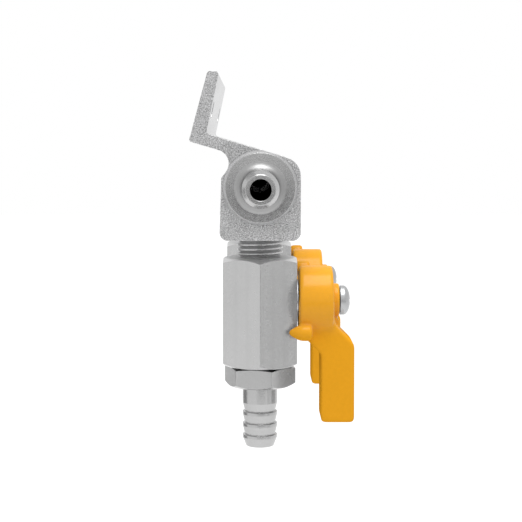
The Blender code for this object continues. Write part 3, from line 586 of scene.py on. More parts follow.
def new_tree(name, kind, inputs, outputs):
    """Return a node tree with its named sockets, its input terms by name and its output node."""
    tree = bpy.data.node_groups.new(name, kind)
    for socket, socket_type in inputs.items():
        tree.interface.new_socket(socket, in_out="INPUT", socket_type=socket_type)
    for socket, socket_type in outputs.items():
        tree.interface.new_socket(socket, in_out="OUTPUT", socket_type=socket_type)
    entry = tree.nodes.new("NodeGroupInput")
    terms = {socket.name: Term(tree, socket) for socket in entry.outputs if socket.name}
    return tree, terms, tree.nodes.new("NodeGroupOutput")


def position(tree):
    """Return the place of each point as three terms."""
    place = add_node(tree, "GeometryNodeInputPosition")
    parts = add_node(tree, "ShaderNodeSeparateXYZ", {0: place.outputs[0]})
    return [Term(tree, socket) for socket in parts.outputs]


SOCKET_OF = {float: "NodeSocketFloat", int: "NodeSocketInt", Vector: "NodeSocketVector"}


def geometry_tree(name, build, values):
    """Return a geometry tree, built once, with an input for each value and its material set last."""
    if name not in bpy.data.node_groups:
        inputs = {key: SOCKET_OF.get(type(value), "NodeSocketMaterial") for key, value in values.items()}
        tree, term, leave = new_tree(name, "GeometryNodeTree", inputs, {"Geometry": "NodeSocketGeometry"})
        real = add_node(tree, "GeometryNodeRealizeInstances", {"Geometry": build(tree, term)})
        coat = add_node(tree, "GeometryNodeSetMaterial", {"Geometry": real.outputs[0],
                                                          "Material": term["Finish"]})
        connect(tree, coat.outputs[0], leave.inputs[0])
    return bpy.data.node_groups[name]


def grown(name, build, values):
    """Return the plain mesh that a geometry tree makes from its named values."""
    tree = geometry_tree(name, build, values)
    carrier = bpy.data.objects.new("carrier", bpy.data.meshes.new("carrier"))
    bpy.context.scene.collection.objects.link(carrier)
    growth = carrier.modifiers.new("growth", "NODES")
    growth.node_group = tree
    for item in tree.interface.items_tree:
        if item.in_out == "INPUT":
            growth[item.identifier] = values[item.name]
    result = carrier.evaluated_get(bpy.context.evaluated_depsgraph_get())
    mesh = bpy.data.meshes.new_from_object(result)
    bpy.data.objects.remove(carrier)
    return mesh


def build_thread(tree, term):
    """Cut a closed, right-handed thread about Z, from nought up to its length."""
    grid = add_node(tree, "GeometryNodeMeshGrid", {
        "Size X": math.tau, "Size Y": 1.0, "Vertices X": term["Columns"], "Vertices Y": term["Rows"]})
    angle, share, _ = position(tree)
    last = term["Rows"] - 1.0
    row = (share + 0.5) * last
    height = ((row - 1.0) / (last - 2.0)).within() * term["Length"]
    phase = height / term["Pitch"] * math.tau - angle
    groove = (phase.reckon("COSINE") * -THREAD_FLANK + (1.0 - THREAD_FLANK)).within() * term["Depth"]
    crest = term["Diameter"] * 0.5
    fade = crest - term["Depth"] + height.reckon("MINIMUM", term["Length"] - height)
    inside = row.reckon("GREATER_THAN", 0.5) * row.reckon("LESS_THAN", last - 0.5)
    radius = (crest - groove).reckon("MINIMUM", fade) * inside
    wrapped = add_node(tree, "ShaderNodeCombineXYZ", {"X": radius * angle.reckon("COSINE"),
                                                      "Y": radius * angle.reckon("SINE"), "Z": height})
    bent = add_node(tree, "GeometryNodeSetPosition", {"Geometry": grid.outputs[0],
                                                      "Position": wrapped.outputs[0]})
    sewn = add_node(tree, "GeometryNodeMergeByDistance", {"Geometry": bent.outputs[0], "Distance": MERGE})
    return sewn.outputs[0]


def thread_core(cut, kind):
    """Return the radius at the root of one of the three kinds of thread."""
    return getattr(cut, kind) / 2 - getattr(cut, kind + "_depth")


def thread_hole(cut, kind):
    """Return the radius of the hole that a thread goes into."""
    return getattr(cut, kind) / 2 + cut.gap


def thread(cut, kind, low, length):
    """Return a thread of one of the three kinds, about Z from a height upwards."""
    pitch = getattr(cut, kind + "_pitch")
    mesh = grown("cut_thread", build_thread, {
        "Diameter": getattr(cut, kind), "Depth": getattr(cut, kind + "_depth"), "Pitch": pitch,
        "Length": length, "Columns": THREAD_COLUMNS + 1,
        "Rows": math.ceil(length / pitch * THREAD_ROWS) + 2, "Finish": None})
    shape = bmesh.new()
    shape.from_mesh(mesh)
    return closed_mesh(shape, Matrix.Translation((0, 0, low)))


def blend_width(radius, angle=HALF_PI):
    """Return the blending distance that rounds the edge between two faces to a radius."""
    return 6 * radius * (1 - math.cos(angle / 2))


def build_handle(tree, term):
    """Cast a lever handle: each shape is a distance, and joins get a fillet."""
    x, y, z = position(tree)
    radius = y.beside(z)
    face = term["hub_start"] + term["hub_length"]
    top = face + term["boss_height"]

    hub = (radius - term["hub"] * 0.5).both(term["hub_start"] - x, term["hub_edge"])
    hub = hub.both(x - face, term["hub_edge"])
    boss = (radius - term["boss"] * 0.5).both(x - top, term["boss_edge"]).both(term["hub_start"] - x)

    inner = term["hub_start"] + term["setout"]
    outer = inner + term["thickness"]
    run = outer - face
    fall = term["elbow"] - term["neck_top"]
    slope = ((x - face) * fall + (z + term["neck_top"]) * run) / run.beside(fall)
    front = slope.either(x - face, term["neck_radius"]).both(x - outer, term["elbow_radius"])
    armpit = (inner - term["armpit"] - x - z) * math.sqrt(0.5)
    side = front.both((inner - x).either(armpit, term["armpit_edge"]), term["end_radius"])
    side = side.both((z * -1.0) - term["length"], term["end_radius"]).both(z)
    lever = side.both(abs(y) - term["width"] * 0.5, term["edge"])
    lever = lever.both(term["hub_start"] - x)

    roof = z + term["web_top"] + (x - face) * term["web_drop"] / term["boss_height"]
    web = roof.both(x - top, term["boss_edge"]).both(abs(y) - term["web"] * 0.5, term["boss_edge"])
    web = web.both((z * -1.0) - term["elbow"]).both(inner - x)

    casting = hub.either(lever, term["fillet"])
    casting = casting.either(boss, term["boss_edge"]).either(web, term["boss_edge"])
    for way in (1.0, -1.0):
        reach = (y * way - term["lug_offset"]).beside(z * way - term["lug_offset"])
        nose = reach * math.cos(LUG_CONE) - (x - term["lug_nose"]) * math.sin(LUG_CONE)
        tip = (term["lug"] * 0.5 - (term["hub_start"] - term["lug_nose"]) * math.tan(LUG_CONE))
        nose = nose - tip * math.cos(LUG_CONE)
        lug = nose.both(reach - term["lug"] * 0.5, term["boss_edge"])
        lug = lug.both(term["lug_nose"] - x, term["boss_edge"])
        lug = lug.both(x - term["hub_start"] - term["lug_root"], term["lug_root_radius"])
        casting = casting.either(lug, term["fillet"])

    socket = (radius - term["stem_hole"] * 0.5).both(abs(z) - term["stem_flats"] * 0.5)
    socket = socket.both(x - term["hub_start"] - term["socket_depth"])
    entry = (radius - term["entry"] * 0.5).both(x - term["hub_start"] - term["entry_depth"])
    hollow = socket.either(entry).either(radius - term["screw_hole"] * 0.5)
    casting = casting.both(hollow * -1.0, term["mouth_edge"])

    block = add_node(tree, "GeometryNodeVolumeCube", {
        "Density": casting * -1.0, "Background": -1.0, "Min": term["Low"], "Max": term["High"],
        "Resolution X": term["Cells X"], "Resolution Y": term["Cells Y"], "Resolution Z": term["Cells Z"]})
    skin = add_node(tree, "GeometryNodeVolumeToMesh", {"Volume": block.outputs[0], "Threshold": 0.0})
    return skin.outputs[0]


# Finishes

TONE_AND_HEIGHT = {"Tone": "NodeSocketFloat", "Height": "NodeSocketFloat"}
MIX_INPUTS = (0, 6, 7)            # a Mix node's sockets for the factor and two colours
MIX_RESULT = 2                    # its socket for the mixed colour
CLOUD_SCALE = 0.05                # scale of the slow change of tone, as a share of the grain's
BROAD_SCALE = 0.13                # scale of the coarse tool marks, as a share of the fine ones'
FINE_SHARE = 0.7                  # share of the fine tool marks in their relief
BROAD_SHARE = 0.3                 # share of the coarse ones
BORE_SHADE_TONE = 0.01                  # what painted shade leaves of a tone inside a bore
DRAWN_LIFT = 0.3                  # how much lighter the drawn faces look than the blasted ends
SPOT_FINISH_AND_PAINTED_LIGHT = 0.3                   # how much lighter still the spot faces look: their turned finish, and painted light against the shade of their recess
DRAWN_RELIEF = 0.15               # height of the drawn satin, as a share of the blasted grain's
END_ZONE = 0.35 * MM              # depth of the blasted zone at each sawn end
END_FADE = 0.3 * MM               # distance over which it starts
EDGE_FADE = 0.1 * MM              # distance over which a tone changes at a turned edge
ROOT_FADE = 1.0 * MM              # distance over which a root radius turns dull
HAND_FADE = 4.0 * MM              # distance below the hub over which the gloss wears off


def shader_group(name, build, inputs):
    """Return a shader group with a tone and a height, built once."""
    if name not in bpy.data.node_groups:
        kinds = {key: "NodeSocketVector" if key == "Vector" else "NodeSocketFloat" for key in inputs}
        tree, term, leave = new_tree(name, "ShaderNodeTree", kinds, TONE_AND_HEIGHT)
        for output, value in build(tree, term).items():
            connect(tree, value, leave.inputs[output])
    return bpy.data.node_groups[name]


def build_grain(tree, term):
    """Grain: fine dimples and a slow change of tone."""
    dimple = add_node(tree, "ShaderNodeTexNoise", {"Vector": term["Vector"], "Scale": term["Scale"],
                                                   "Detail": 2.0, "Roughness": 0.6})
    cloud = add_node(tree, "ShaderNodeTexNoise", {
        "Vector": term["Vector"], "Scale": term["Scale"] * CLOUD_SCALE, "Detail": 2.0})
    height = Term(tree, dimple.outputs[0])
    tone = (height - 0.5) * term["Contrast"] + (Term(tree, cloud.outputs[0]) - 0.5) * term["Cloud"] + 1.0
    return {"Tone": tone.reckon("MAXIMUM", 0.0), "Height": height}


def build_marks(tree, term):
    """Tool marks: fine and coarse lines that follow one coordinate."""
    fine = add_node(tree, "ShaderNodeTexNoise", {"W": term["Along"] * term["Scale"], "Scale": 1.0,
                                                 "Detail": 4.0, "Roughness": 0.7}, noise_dimensions="1D")
    broad = add_node(tree, "ShaderNodeTexNoise", {"W": term["Along"] * term["Scale"] * BROAD_SCALE,
                                                  "Scale": 1.0, "Detail": 2.0}, noise_dimensions="1D")
    height = Term(tree, fine.outputs[0]) * FINE_SHARE + Term(tree, broad.outputs[0]) * BROAD_SHARE
    return {"Tone": (height - 0.5) * term["Contrast"] + 1.0, "Height": height}


class Finish:
    """A material under way: its tree, its shader and the place on the piece."""

    def __init__(self, name, base, roughness, metallic):
        self.material = bpy.data.materials.new(name)
        self.material.use_nodes = True
        self.tree = self.material.node_tree
        self.shader = self.tree.nodes["Principled BSDF"]
        self.base = (*base, 1.0)
        self.set("Base Color", self.base)
        self.set("Roughness", roughness)
        self.set("Metallic", metallic)
        self.material.diffuse_color = self.base
        place = add_node(self.tree, "ShaderNodeTexCoord")
        self.spot, self.normal = place.outputs["Object"], place.outputs["Normal"]

    def set(self, socket, value):
        """Set or link an input of the shader."""
        connect(self.tree, value, self.shader.inputs[socket])

    def centred(self, centre):
        """Return the place on the piece, measured from a centre, as three terms."""
        shift = add_node(self.tree, "ShaderNodeMapping", {"Vector": self.spot, "Location": -Vector(centre)})
        parts = add_node(self.tree, "ShaderNodeSeparateXYZ", {0: shift.outputs[0]})
        return [Term(self.tree, socket) for socket in parts.outputs]

    def facing(self, axis):
        """Return how far the surface faces along an axis, from nought to one."""
        parts = add_node(self.tree, "ShaderNodeSeparateXYZ", {0: self.normal})
        return abs(Term(self.tree, parts.outputs[axis]))

    def stretched(self, scale):
        """Return the place on the piece, drawn out along the axes with small scales."""
        return add_node(self.tree, "ShaderNodeMapping", {"Vector": self.spot, "Scale": scale}).outputs[0]

    def pattern(self, name, build, inputs):
        """Place a group in the material and return its tone and height."""
        group = add_node(self.tree, "ShaderNodeGroup", inputs, node_tree=shader_group(name, build, inputs))
        return Term(self.tree, group.outputs["Tone"]), Term(self.tree, group.outputs["Height"])

    def grain(self, scale, contrast, cloud, vector=None):
        """Return tone and height of a grain of so many dimples to the metre."""
        return self.pattern("grain", build_grain, {"Vector": vector or self.spot, "Scale": scale,
                                                   "Contrast": contrast, "Cloud": cloud})

    def marks(self, along, scale, contrast):
        """Return tone and height of tool marks along a coordinate."""
        return self.pattern("tool_marks", build_marks, {"Along": along, "Scale": scale, "Contrast": contrast})

    def mix_base(self, factor, first, second, **settings):
        """Make the base colour a mix of two colours."""
        mix = add_node(self.tree, "ShaderNodeMix", data_type="RGBA", **settings)
        for socket, value in zip(MIX_INPUTS, (factor, first, second)):
            connect(self.tree, value, mix.inputs[socket])
        self.set("Base Color", mix.outputs[MIX_RESULT])

    def tint(self, tone):
        """Colour the piece with its base colour, made lighter or darker by a tone about one."""
        self.mix_base(1.0, self.base, tone, blend_type="MULTIPLY")

    def whitened(self):
        """Show the piece white in other pieces' reflections, as the photograph does."""
        mirror = add_node(self.tree, "ShaderNodeLightPath").outputs["Is Glossy Ray"]
        self.mix_base(mirror, self.shader.inputs["Base Color"].links[0].from_socket, WHITE)

    def bump(self, height, distance):
        """Raise the surface by a height from nought to one over a distance."""
        relief = add_node(self.tree, "ShaderNodeBump", {"Height": height, "Distance": distance,
                                                        "Strength": 1.0})
        self.set("Normal", relief.outputs[0])


def painted_bore_shade(radius, bore):
    """Return a tone that is one outside a bore and near nought on its wall: painted shade inside the bore."""
    return (radius - bore / 2).ramp(EDGE_FADE) * (1 - BORE_SHADE_TONE) + BORE_SHADE_TONE


def blasted_bar(name, settings):
    """Return the finish of the bar: coarse grain on the sawn ends, fine drawn satin on the long faces."""
    finish = Finish(name, settings.colours.blasted, roughness=0.5, metallic=1.0)
    across, along, up = finish.centred(BORE)
    radius = across.beside(up)
    end = (abs(along) - (BAR_HALF - END_ZONE)).ramp(END_FADE)
    spot_face = (radius * -1.0 + settings.bar.spot_face / 2).ramp(EDGE_FADE, 1.0)
    blasted = end * (1.0 - spot_face)
    tone, height = finish.grain(scale=3300.0, contrast=3.1, cloud=0.3)
    drawn_out = finish.stretched((1.0, 0.1, 1.0))
    fine_tone, fine_height = finish.grain(scale=4200.0, contrast=0.5, cloud=0.12, vector=drawn_out)
    # The spot faces get a lighter tone: partly their turned finish, partly painted light against the shade of
    # their recess.
    shade = blasted * (tone - fine_tone - DRAWN_LIFT) + fine_tone + DRAWN_LIFT + spot_face * SPOT_FINISH_AND_PAINTED_LIGHT
    # Painted shade: the tint goes near black on the wall of the bore.
    light = painted_bore_shade(radius, settings.bar.bore)
    finish.tint(shade * light)
    finish.set("Roughness", blasted * 0.22 + fine_height * 0.2 + 0.2 + (1.0 - light) * 0.8)
    satin = fine_height * DRAWN_RELIEF
    finish.bump(blasted * (height - satin) + satin, 0.05 * MM)
    return finish.material


def nickel_plate(name, settings, centre, axis, creep, root, depth):
    """Return satin nickel plate on a turned or drawn piece about an axis.

    The marks have a depth and follow the distance from the axis and, by the creep, the way along it.  A
    drawn piece is duller where it is cut across, and painted light makes those faces lighter; painted shade
    darkens its thread roots.  A turned one is duller within its root radius, where painted shade darkens it
    too, and painted shade makes it dark inside its bore.
    """
    finish = Finish(name, settings.colours.nickel, roughness=0.32, metallic=1.0)
    across = finish.centred(centre)
    along = across.pop("XYZ".index(axis))
    radius = across[0].beside(across[1])
    tone, height = finish.marks(radius + along * creep, scale=5200.0, contrast=0.22)
    cloud_tone, cloud_height = finish.grain(scale=1500.0, contrast=0.16, cloud=0.16)
    barb = settings.barb
    # Within the root radius, outside the ridges: rougher, and on turned pieces a painted shade that takes a
    # quarter off the tint.
    hollow = (radius * -1.0 + root).ramp(ROOT_FADE) * painted_bore_shade(radius, barb.ridge)
    dull = cloud_height * 0.12 + height * 0.12 + hollow * 0.2 + 0.13
    if creep:
        # Painted shade: the tint goes near black inside the bore.
        light = painted_bore_shade(radius, barb.bore)
        finish.tint(tone * cloud_tone * (1.0 - hollow * 0.25) * light)
        dull = dull + (1.0 - light) * 0.9
    else:
        cut = settings.thread
        # Painted shade in the thread roots: the tint there is darker than at the crests.
        crest = ((radius - cut.pipe / 2) / cut.pipe_depth + 1.0).within()
        # Painted light: faces that look along the axis are tinted up to half as light again, and are duller.
        sawn = (finish.facing(axis) * 3.0 - 0.6).within()
        finish.tint(tone * cloud_tone * (crest * 0.5 + 0.6) * (sawn * 0.5 + 1.0))
        dull = dull + sawn * 0.22
    finish.set("Roughness", dull)
    finish.bump(height * 0.9 + cloud_height * 0.1, depth)
    return finish.material


def yellow_paint(name, colours):
    """Return gloss paint with a faint orange peel, dulled by hands below the hub."""
    finish = Finish(name, colours.yellow, roughness=0.36, metallic=0.0)
    tone, height = finish.grain(scale=900.0, contrast=0.1, cloud=0.1)
    finish.tint(tone)
    finish.whitened()
    finish.set("Roughness", height * 0.16 + 0.28)
    finish.set("Specular IOR Level", 0.0)
    up = finish.centred(STEM_AXES["front"])[2]
    finish.set("Coat Weight", up.ramp(HAND_FADE, 2.5) * 0.4)
    finish.set("Coat Roughness", 0.22)
    finish.bump(height, 0.02 * MM)
    return finish.material


def even_finish(name, base, roughness, metallic, scale, contrast, depth):
    """Return a finish with a light even grain."""
    finish = Finish(name, base, roughness, metallic)
    tone, height = finish.grain(scale, contrast, contrast)
    finish.tint(tone)
    finish.set("Roughness", height * roughness * 0.5 + roughness * 0.75)
    finish.bump(height, depth)
    return finish.material


def finish_for(node, creep=0.83):
    """Return the material of a piece, made when it is first asked for."""
    settings = bpy.context.scene.manifold
    colours = settings.colours
    slot = SLOT_OF[node]
    name = slot + "_finish"
    if slot == "nickel_plate":
        valve = node.split("_")[0]
        side = valve if valve in STEM_AXES else "bore"
        name = f"nickel_{side}_{'turned' if creep else 'drawn'}"
    if name in bpy.data.materials:
        return bpy.data.materials[name]
    if slot == "blasted_bar":
        return blasted_bar(name, settings)
    if slot == "nickel_plate":
        if side == "bore":
            root = settings.barb.stem / 2 + settings.ends.root_radius
            return nickel_plate(name, settings, BORE, "Y", creep, root, 0.02 * MM)
        return nickel_plate(name, settings, STEM_AXES[side], "Z", creep, 0.0, 0.012 * MM)
    if slot == "yellow_paint":
        return yellow_paint(name, colours)
    # colour, roughness, metallic, scale and contrast of the grain, depth of the bump
    plain = {
        "zinc_steel": (colours.zinc, 0.36, 1.0, 1800.0, 0.12, 0.006 * MM),
        "polished_ball": (colours.chrome, 0.10, 1.0, 900.0, 0.05, 0.001 * MM),
        "white_seat": (colours.seat, 0.42, 0.0, 1400.0, 0.06, 0.01 * MM),
        "black_rubber": (colours.rubber, 0.60, 0.0, 2600.0, 0.30, 0.01 * MM),
        "soft_washer": (colours.washer, 0.45, 1.0, 2400.0, 0.25, 0.015 * MM),
    }
    return even_finish(name, *plain[slot])


def hand_over(mesh, node, *materials):
    """Turn a finished mesh into the piece that stands for a node and moves with the node's body."""
    name = node + "_finished"
    shape = bmesh.new()
    shape.from_mesh(mesh)
    loose = [line for line in shape.edges if len(line.link_faces) != 2]
    shape.free()
    if loose or not mesh.polygons:
        raise RuntimeError(f"{name} is not closed: {len(loose)} open edges of {len(mesh.edges)}")
    mesh.name = name
    mesh.shade_smooth()
    mesh.set_sharp_from_angle(angle=SHARP)
    mesh.materials.clear()
    for material in materials or (finish_for(node),):
        mesh.materials.append(material)
    piece = bpy.data.objects.new(name, mesh)
    bpy.context.scene.collection.objects.link(piece)
    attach(piece, BODY_OF[node])
    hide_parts(node)


# Bar

def flange_corners(bar):
    """Return the corners of the flange and arm, in the plane across the bar."""
    arm_top = Vector((0, bar.arm_top))
    arm_underside = Vector((0, bar.arm_top - bar.arm_thickness / math.cos(bar.arm_slope)))
    outer = Vector((-bar.flange_reach, arm_underside.y + bar.flange_reach * math.tan(bar.arm_slope)))
    tip = outer + bar.flange_length * Vector((math.sin(bar.flange_lean), math.cos(bar.flange_lean)))
    inner_tip = tip + Vector((bar.flange_tip, 0))
    edge = Vector((bar.root_setback - bar.left, bar.root_height))
    return {
        "outer": outer, "tip": tip, "inner_tip": inner_tip, "edge": edge,
        "inner": cross_lines(inner_tip, HALF_PI - bar.flange_inner_lean, arm_top, -bar.arm_slope),
        "shoulder": cross_lines((bar.right, 0), HALF_PI, arm_top, -bar.arm_slope),
        "root": cross_lines(edge, bar.root_slope, arm_underside, -bar.arm_slope),
    }


def bar_outline(bar):
    """Return the profile of the bar with its arm and flange."""
    at = flange_corners(bar)
    return rounded([
        (-bar.left, -bar.underside, bar.foot_radius), (bar.right, -bar.underside, bar.foot_radius),
        (*at["shoulder"], bar.shoulder_radius), (*at["inner"], bar.tip_radius),
        (*at["inner_tip"], bar.tip_radius), (*at["tip"], bar.tip_radius),
        (*at["outer"], bar.corner_radius), (*at["root"], bar.root_radius),
        (*at["edge"], bar.root_edge_radius)])


def end_bore(settings):
    """Return the cutter for the bore, with the spot face and the thread hole of both ends."""
    bar, ends = settings.bar, settings.ends
    hole = thread_hole(settings.thread, "pipe")
    face = BAR_HALF - bar.spot_depth
    stop = face - ends.thread_length - settings.thread.seat_gap
    half = [(bar.spot_face / 2, BAR_HALF + PAST), (bar.spot_face / 2, face), (hole + bar.hole_edge, face),
            (hole, face - bar.hole_edge), (hole, stop), (bar.bore / 2, stop)]
    return turned_solid(half + [(radius, -along) for radius, along in reversed(half)], TO_PLUG)


def valve_port(settings):
    """Return the cutter for a valve's thread hole and the drilling up to the bore."""
    bar = settings.bar
    hole = thread_hole(settings.thread, "pipe")
    top = settings.body.neck_engaged + settings.thread.seat_gap - bar.underside
    low = -bar.underside
    return turned_solid([(hole + bar.hole_edge + PAST, low - PAST), (hole, low + bar.hole_edge), (hole, top),
                         (bar.port_drill / 2, top), (bar.port_drill / 2, 0)])


def flange_hole(bar):
    """Return the cutter for a wall screw hole, countersunk lightly on the wall's side."""
    at = flange_corners(bar)
    middle = (at["outer"] + at["tip"]) / 2
    radius = bar.hole / 2
    wide = radius + bar.hole_edge + PAST
    reach = bar.flange_length / 2
    profile = [(wide, -reach), (wide, -PAST), (radius, bar.hole_edge), (radius, reach)]
    lean = Matrix.Rotation(bar.flange_lean, 4, "Y") @ OUT_OF_WALL
    return turned_solid(profile, Matrix.Translation((middle.x, 0, middle.y)) @ lean)


class MANIFOLD_OT_bar(Operator):
    """Make the extruded bar with its flange, bore, valve ports and screw holes"""

    bl_idname = "manifold.make_bar"
    bl_label = "Bar"

    def execute(self, context):
        settings = context.scene.manifold
        bar = settings.bar
        mesh = pushed(bar_outline(bar), -BAR_HALF, BAR_HALF, UP, bar.end_edge)
        mesh.transform(SWAP_YZ)
        mesh.flip_normals()
        cuts = [("DIFFERENCE", end_bore(settings))]
        pairs = ((valve_port(settings), STEM_AXES["rear"].y), (flange_hole(bar), bar.hole_spacing / 2))
        for side in (-1, 1):
            for cutter, reach in pairs:
                cuts.append(("DIFFERENCE", moved(cutter, Matrix.Translation((0, side * reach, 0)))))
        mesh = combined(mesh, *cuts)
        mesh.transform(Matrix.Translation(BORE))
        hand_over(mesh, "manifold_bar")
        return {"FINISHED"}


# Tails, plug and washers

def band(inner, outer, low, high, edge, place):
    """Return a ring of rectangular section with rounded edges."""
    box = ((inner, low), (outer, low), (outer, high), (inner, high))
    return turned([(*corner, edge) for corner in box], place)


def barb_corners(barb):
    """Return the outside of a hose barb as turned corners, measured from its flange."""
    edge = barb.edge
    corners = [(barb.stem / 2, barb.stem_length, edge), (barb.neck / 2, barb.stem_length + barb.lead, edge)]
    for ridge in range(barb.ridges):
        start = barb.stem_length + barb.lead + ridge * barb.pitch
        corners.append((barb.ridge / 2, start + barb.step, edge))
        corners.append((barb.ridge / 2, start + barb.step + barb.land, edge))
        if ridge < barb.ridges - 1:
            corners.append((barb.neck / 2, start + barb.pitch, edge))
    end = barb_length(barb)
    nose = barb.nose / 2
    return corners + [(nose, end - barb.mouth, edge / 2), (nose - barb.mouth, end, edge / 2)]


def barb_length(barb):
    """Return the length of a hose barb from its flange to its open end."""
    return barb.stem_length + barb.lead + barb.step + barb.ridges * barb.pitch


def bore_cutter(diameter, chamfer, low, high):
    """Return the cutter for a bore that is chamfered at its upper end."""
    radius = diameter / 2
    return turned_solid([(radius, low), (radius, high - chamfer), (radius + chamfer + PAST, high + PAST)])


class MANIFOLD_OT_inlet_tail(Operator):
    """Turn the inlet hose tail, with its thread behind a round collar"""

    bl_idname = "manifold.make_inlet_tail"
    bl_label = "Inlet hose tail"

    def execute(self, context):
        settings = context.scene.manifold
        ends, barb, cut = settings.ends, settings.barb, settings.thread
        low = -ends.washer_thickness - 2 * cut.seat_gap - ends.thread_length
        front = ends.collar_thickness
        end = front + barb_length(barb)
        core = thread_core(cut, "pipe")
        collar = ends.collar / 2
        profile = [(core, low), (core, 0, barb.edge), (collar, 0, barb.edge), (collar, front, barb.edge),
                   (barb.stem / 2, front, ends.root_radius),
                   *((radius, front + along, edge) for radius, along, edge in barb_corners(barb))]
        screwed = thread(cut, "pipe", low, -low - settings.body.undercut)
        mesh = combined(turned_solid(profile), ("UNION", screwed),
                        ("DIFFERENCE", bore_cutter(barb.bore, barb.mouth, low - PAST, end)))
        seat = Vector((BORE.x, INLET_LOW.y + end, BORE.z))
        mesh.transform(Matrix.Translation(seat) @ TO_INLET)
        hand_over(mesh, "inlet_hose_tail")
        return {"FINISHED"}


class MANIFOLD_OT_end_plug(Operator):
    """Turn the plug of the far end and broach its hexagon socket"""

    bl_idname = "manifold.make_end_plug"
    bl_label = "End plug"

    def execute(self, context):
        settings = context.scene.manifold
        ends, barb, cut = settings.ends, settings.barb, settings.thread
        low = PLUG_LOW.y - PLUG_HIGH.y
        back = -ends.plug_thickness
        core = thread_core(cut, "pipe")
        collar = ends.plug_collar / 2
        profile = [(core, low), (core, back, barb.edge), (collar, back, barb.edge),
                   (collar, 0, 2 * barb.edge)]
        screwed = thread(cut, "pipe", low, back - low - settings.body.undercut)
        socket = pushed(hexagon(ends.socket, 0), -ends.socket_depth, PAST)
        across = corner_reach(ends.socket)
        mouth = turned_solid([(across - PAST, -PAST), (across + barb.edge + PAST, PAST + barb.edge)])
        point = turned([(0, -ends.socket_depth - PAST), (ends.socket / 2, -ends.socket_depth + PAST),
                        (0, -ends.socket_depth + PAST)])
        mesh = combined(turned_solid(profile), ("UNION", screwed), ("DIFFERENCE", socket),
                        ("DIFFERENCE", mouth), ("DIFFERENCE", point))
        mesh.transform(Matrix.Translation((BORE.x, PLUG_HIGH.y, BORE.z)) @ TO_PLUG)
        hand_over(mesh, "end_plug")
        return {"FINISHED"}


class MANIFOLD_OT_end_washers(Operator):
    """Make the soft sealing washers at both ends of the bar"""

    bl_idname = "manifold.make_end_washers"
    bl_label = "Sealing washers"

    def execute(self, context):
        settings = context.scene.manifold
        inner = thread_hole(settings.thread, "pipe")
        edge = settings.barb.edge
        for node in ("inlet_washer", "end_plug_washer"):
            low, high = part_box(node)
            place = Matrix.Translation((BORE.x, 0, BORE.z)) @ TO_PLUG
            hand_over(band(inner, (high.x - low.x) / 2, low.y, high.y, edge, place), node)
        return {"FINISHED"}


# Valves

def hand_over_both(mesh, part, *creep):
    """Hand over one mesh, made about the ball's centre, for both valves."""
    for valve, axis in STEM_AXES.items():
        node = f"{valve}_{part}"
        hand_over(moved(mesh, Matrix.Translation(axis)), node, finish_for(node, *creep))


class MANIFOLD_OT_valve_bodies(Operator):
    """Make both hexagon bodies with their threaded necks, ball chambers and stem holes"""

    bl_idname = "manifold.make_valve_bodies"
    bl_label = "Valve bodies"

    def execute(self, context):
        settings = context.scene.manifold
        body, cut, trim, barb = settings.body, settings.thread, settings.trim, settings.barb
        flat = body.flats / 2
        neck_top = body.top + body.neck_shown + body.neck_engaged
        core = thread_core(cut, "pipe")
        neck = turned_solid([(core, body.top - PAST), (core, neck_top)])
        start = body.top + body.undercut
        screwed = thread(cut, "pipe", start, neck_top - start)
        pad = turned_solid([(body.pad / 2, flat - PAST), (body.pad / 2, flat + body.pad_height, barb.edge)],
                           OUT_OF_WALL)
        hole = thread_hole(cut, "tail")
        step = cut.seat_gap - body.pocket_rim
        chamber = body.cavity / 2
        low = -body.bottom
        passage = turned_solid([
            (hole + cut.chamfer + PAST, low - PAST), (hole, low + cut.chamfer), (hole, step), (chamber, step),
            (chamber, body.pocket_rim), (body.pocket / 2, body.pocket_rim),
            (body.pocket / 2, body.pocket_end), (body.bore / 2, body.pocket_end),
            (body.bore / 2, neck_top - cut.chamfer), (body.bore / 2 + cut.chamfer + PAST, neck_top + PAST)])
        stem_hole = trim.stem / 2 + trim.run_gap
        collar_hole = trim.collar / 2 + trim.run_gap
        seat = stem_places(settings)["seat"]
        stem_passage = turned_solid([
            (collar_hole, 0), (collar_hole, seat), (stem_hole, seat), (stem_hole, flat + PAST),
            (stem_hole + PAST, flat + 2 * PAST)], OUT_OF_WALL)
        bar = chamfered_hexagon(body, body.flats, -HALF_PI, low, body.top, body.chamfer_slope,
                                body.chamfer_slope)
        mesh = combined(bar, ("UNION", neck), ("UNION", screwed), ("UNION", pad), ("DIFFERENCE", passage),
                        ("DIFFERENCE", stem_passage))
        hand_over_both(mesh, "valve_body", 0.0)
        return {"FINISHED"}


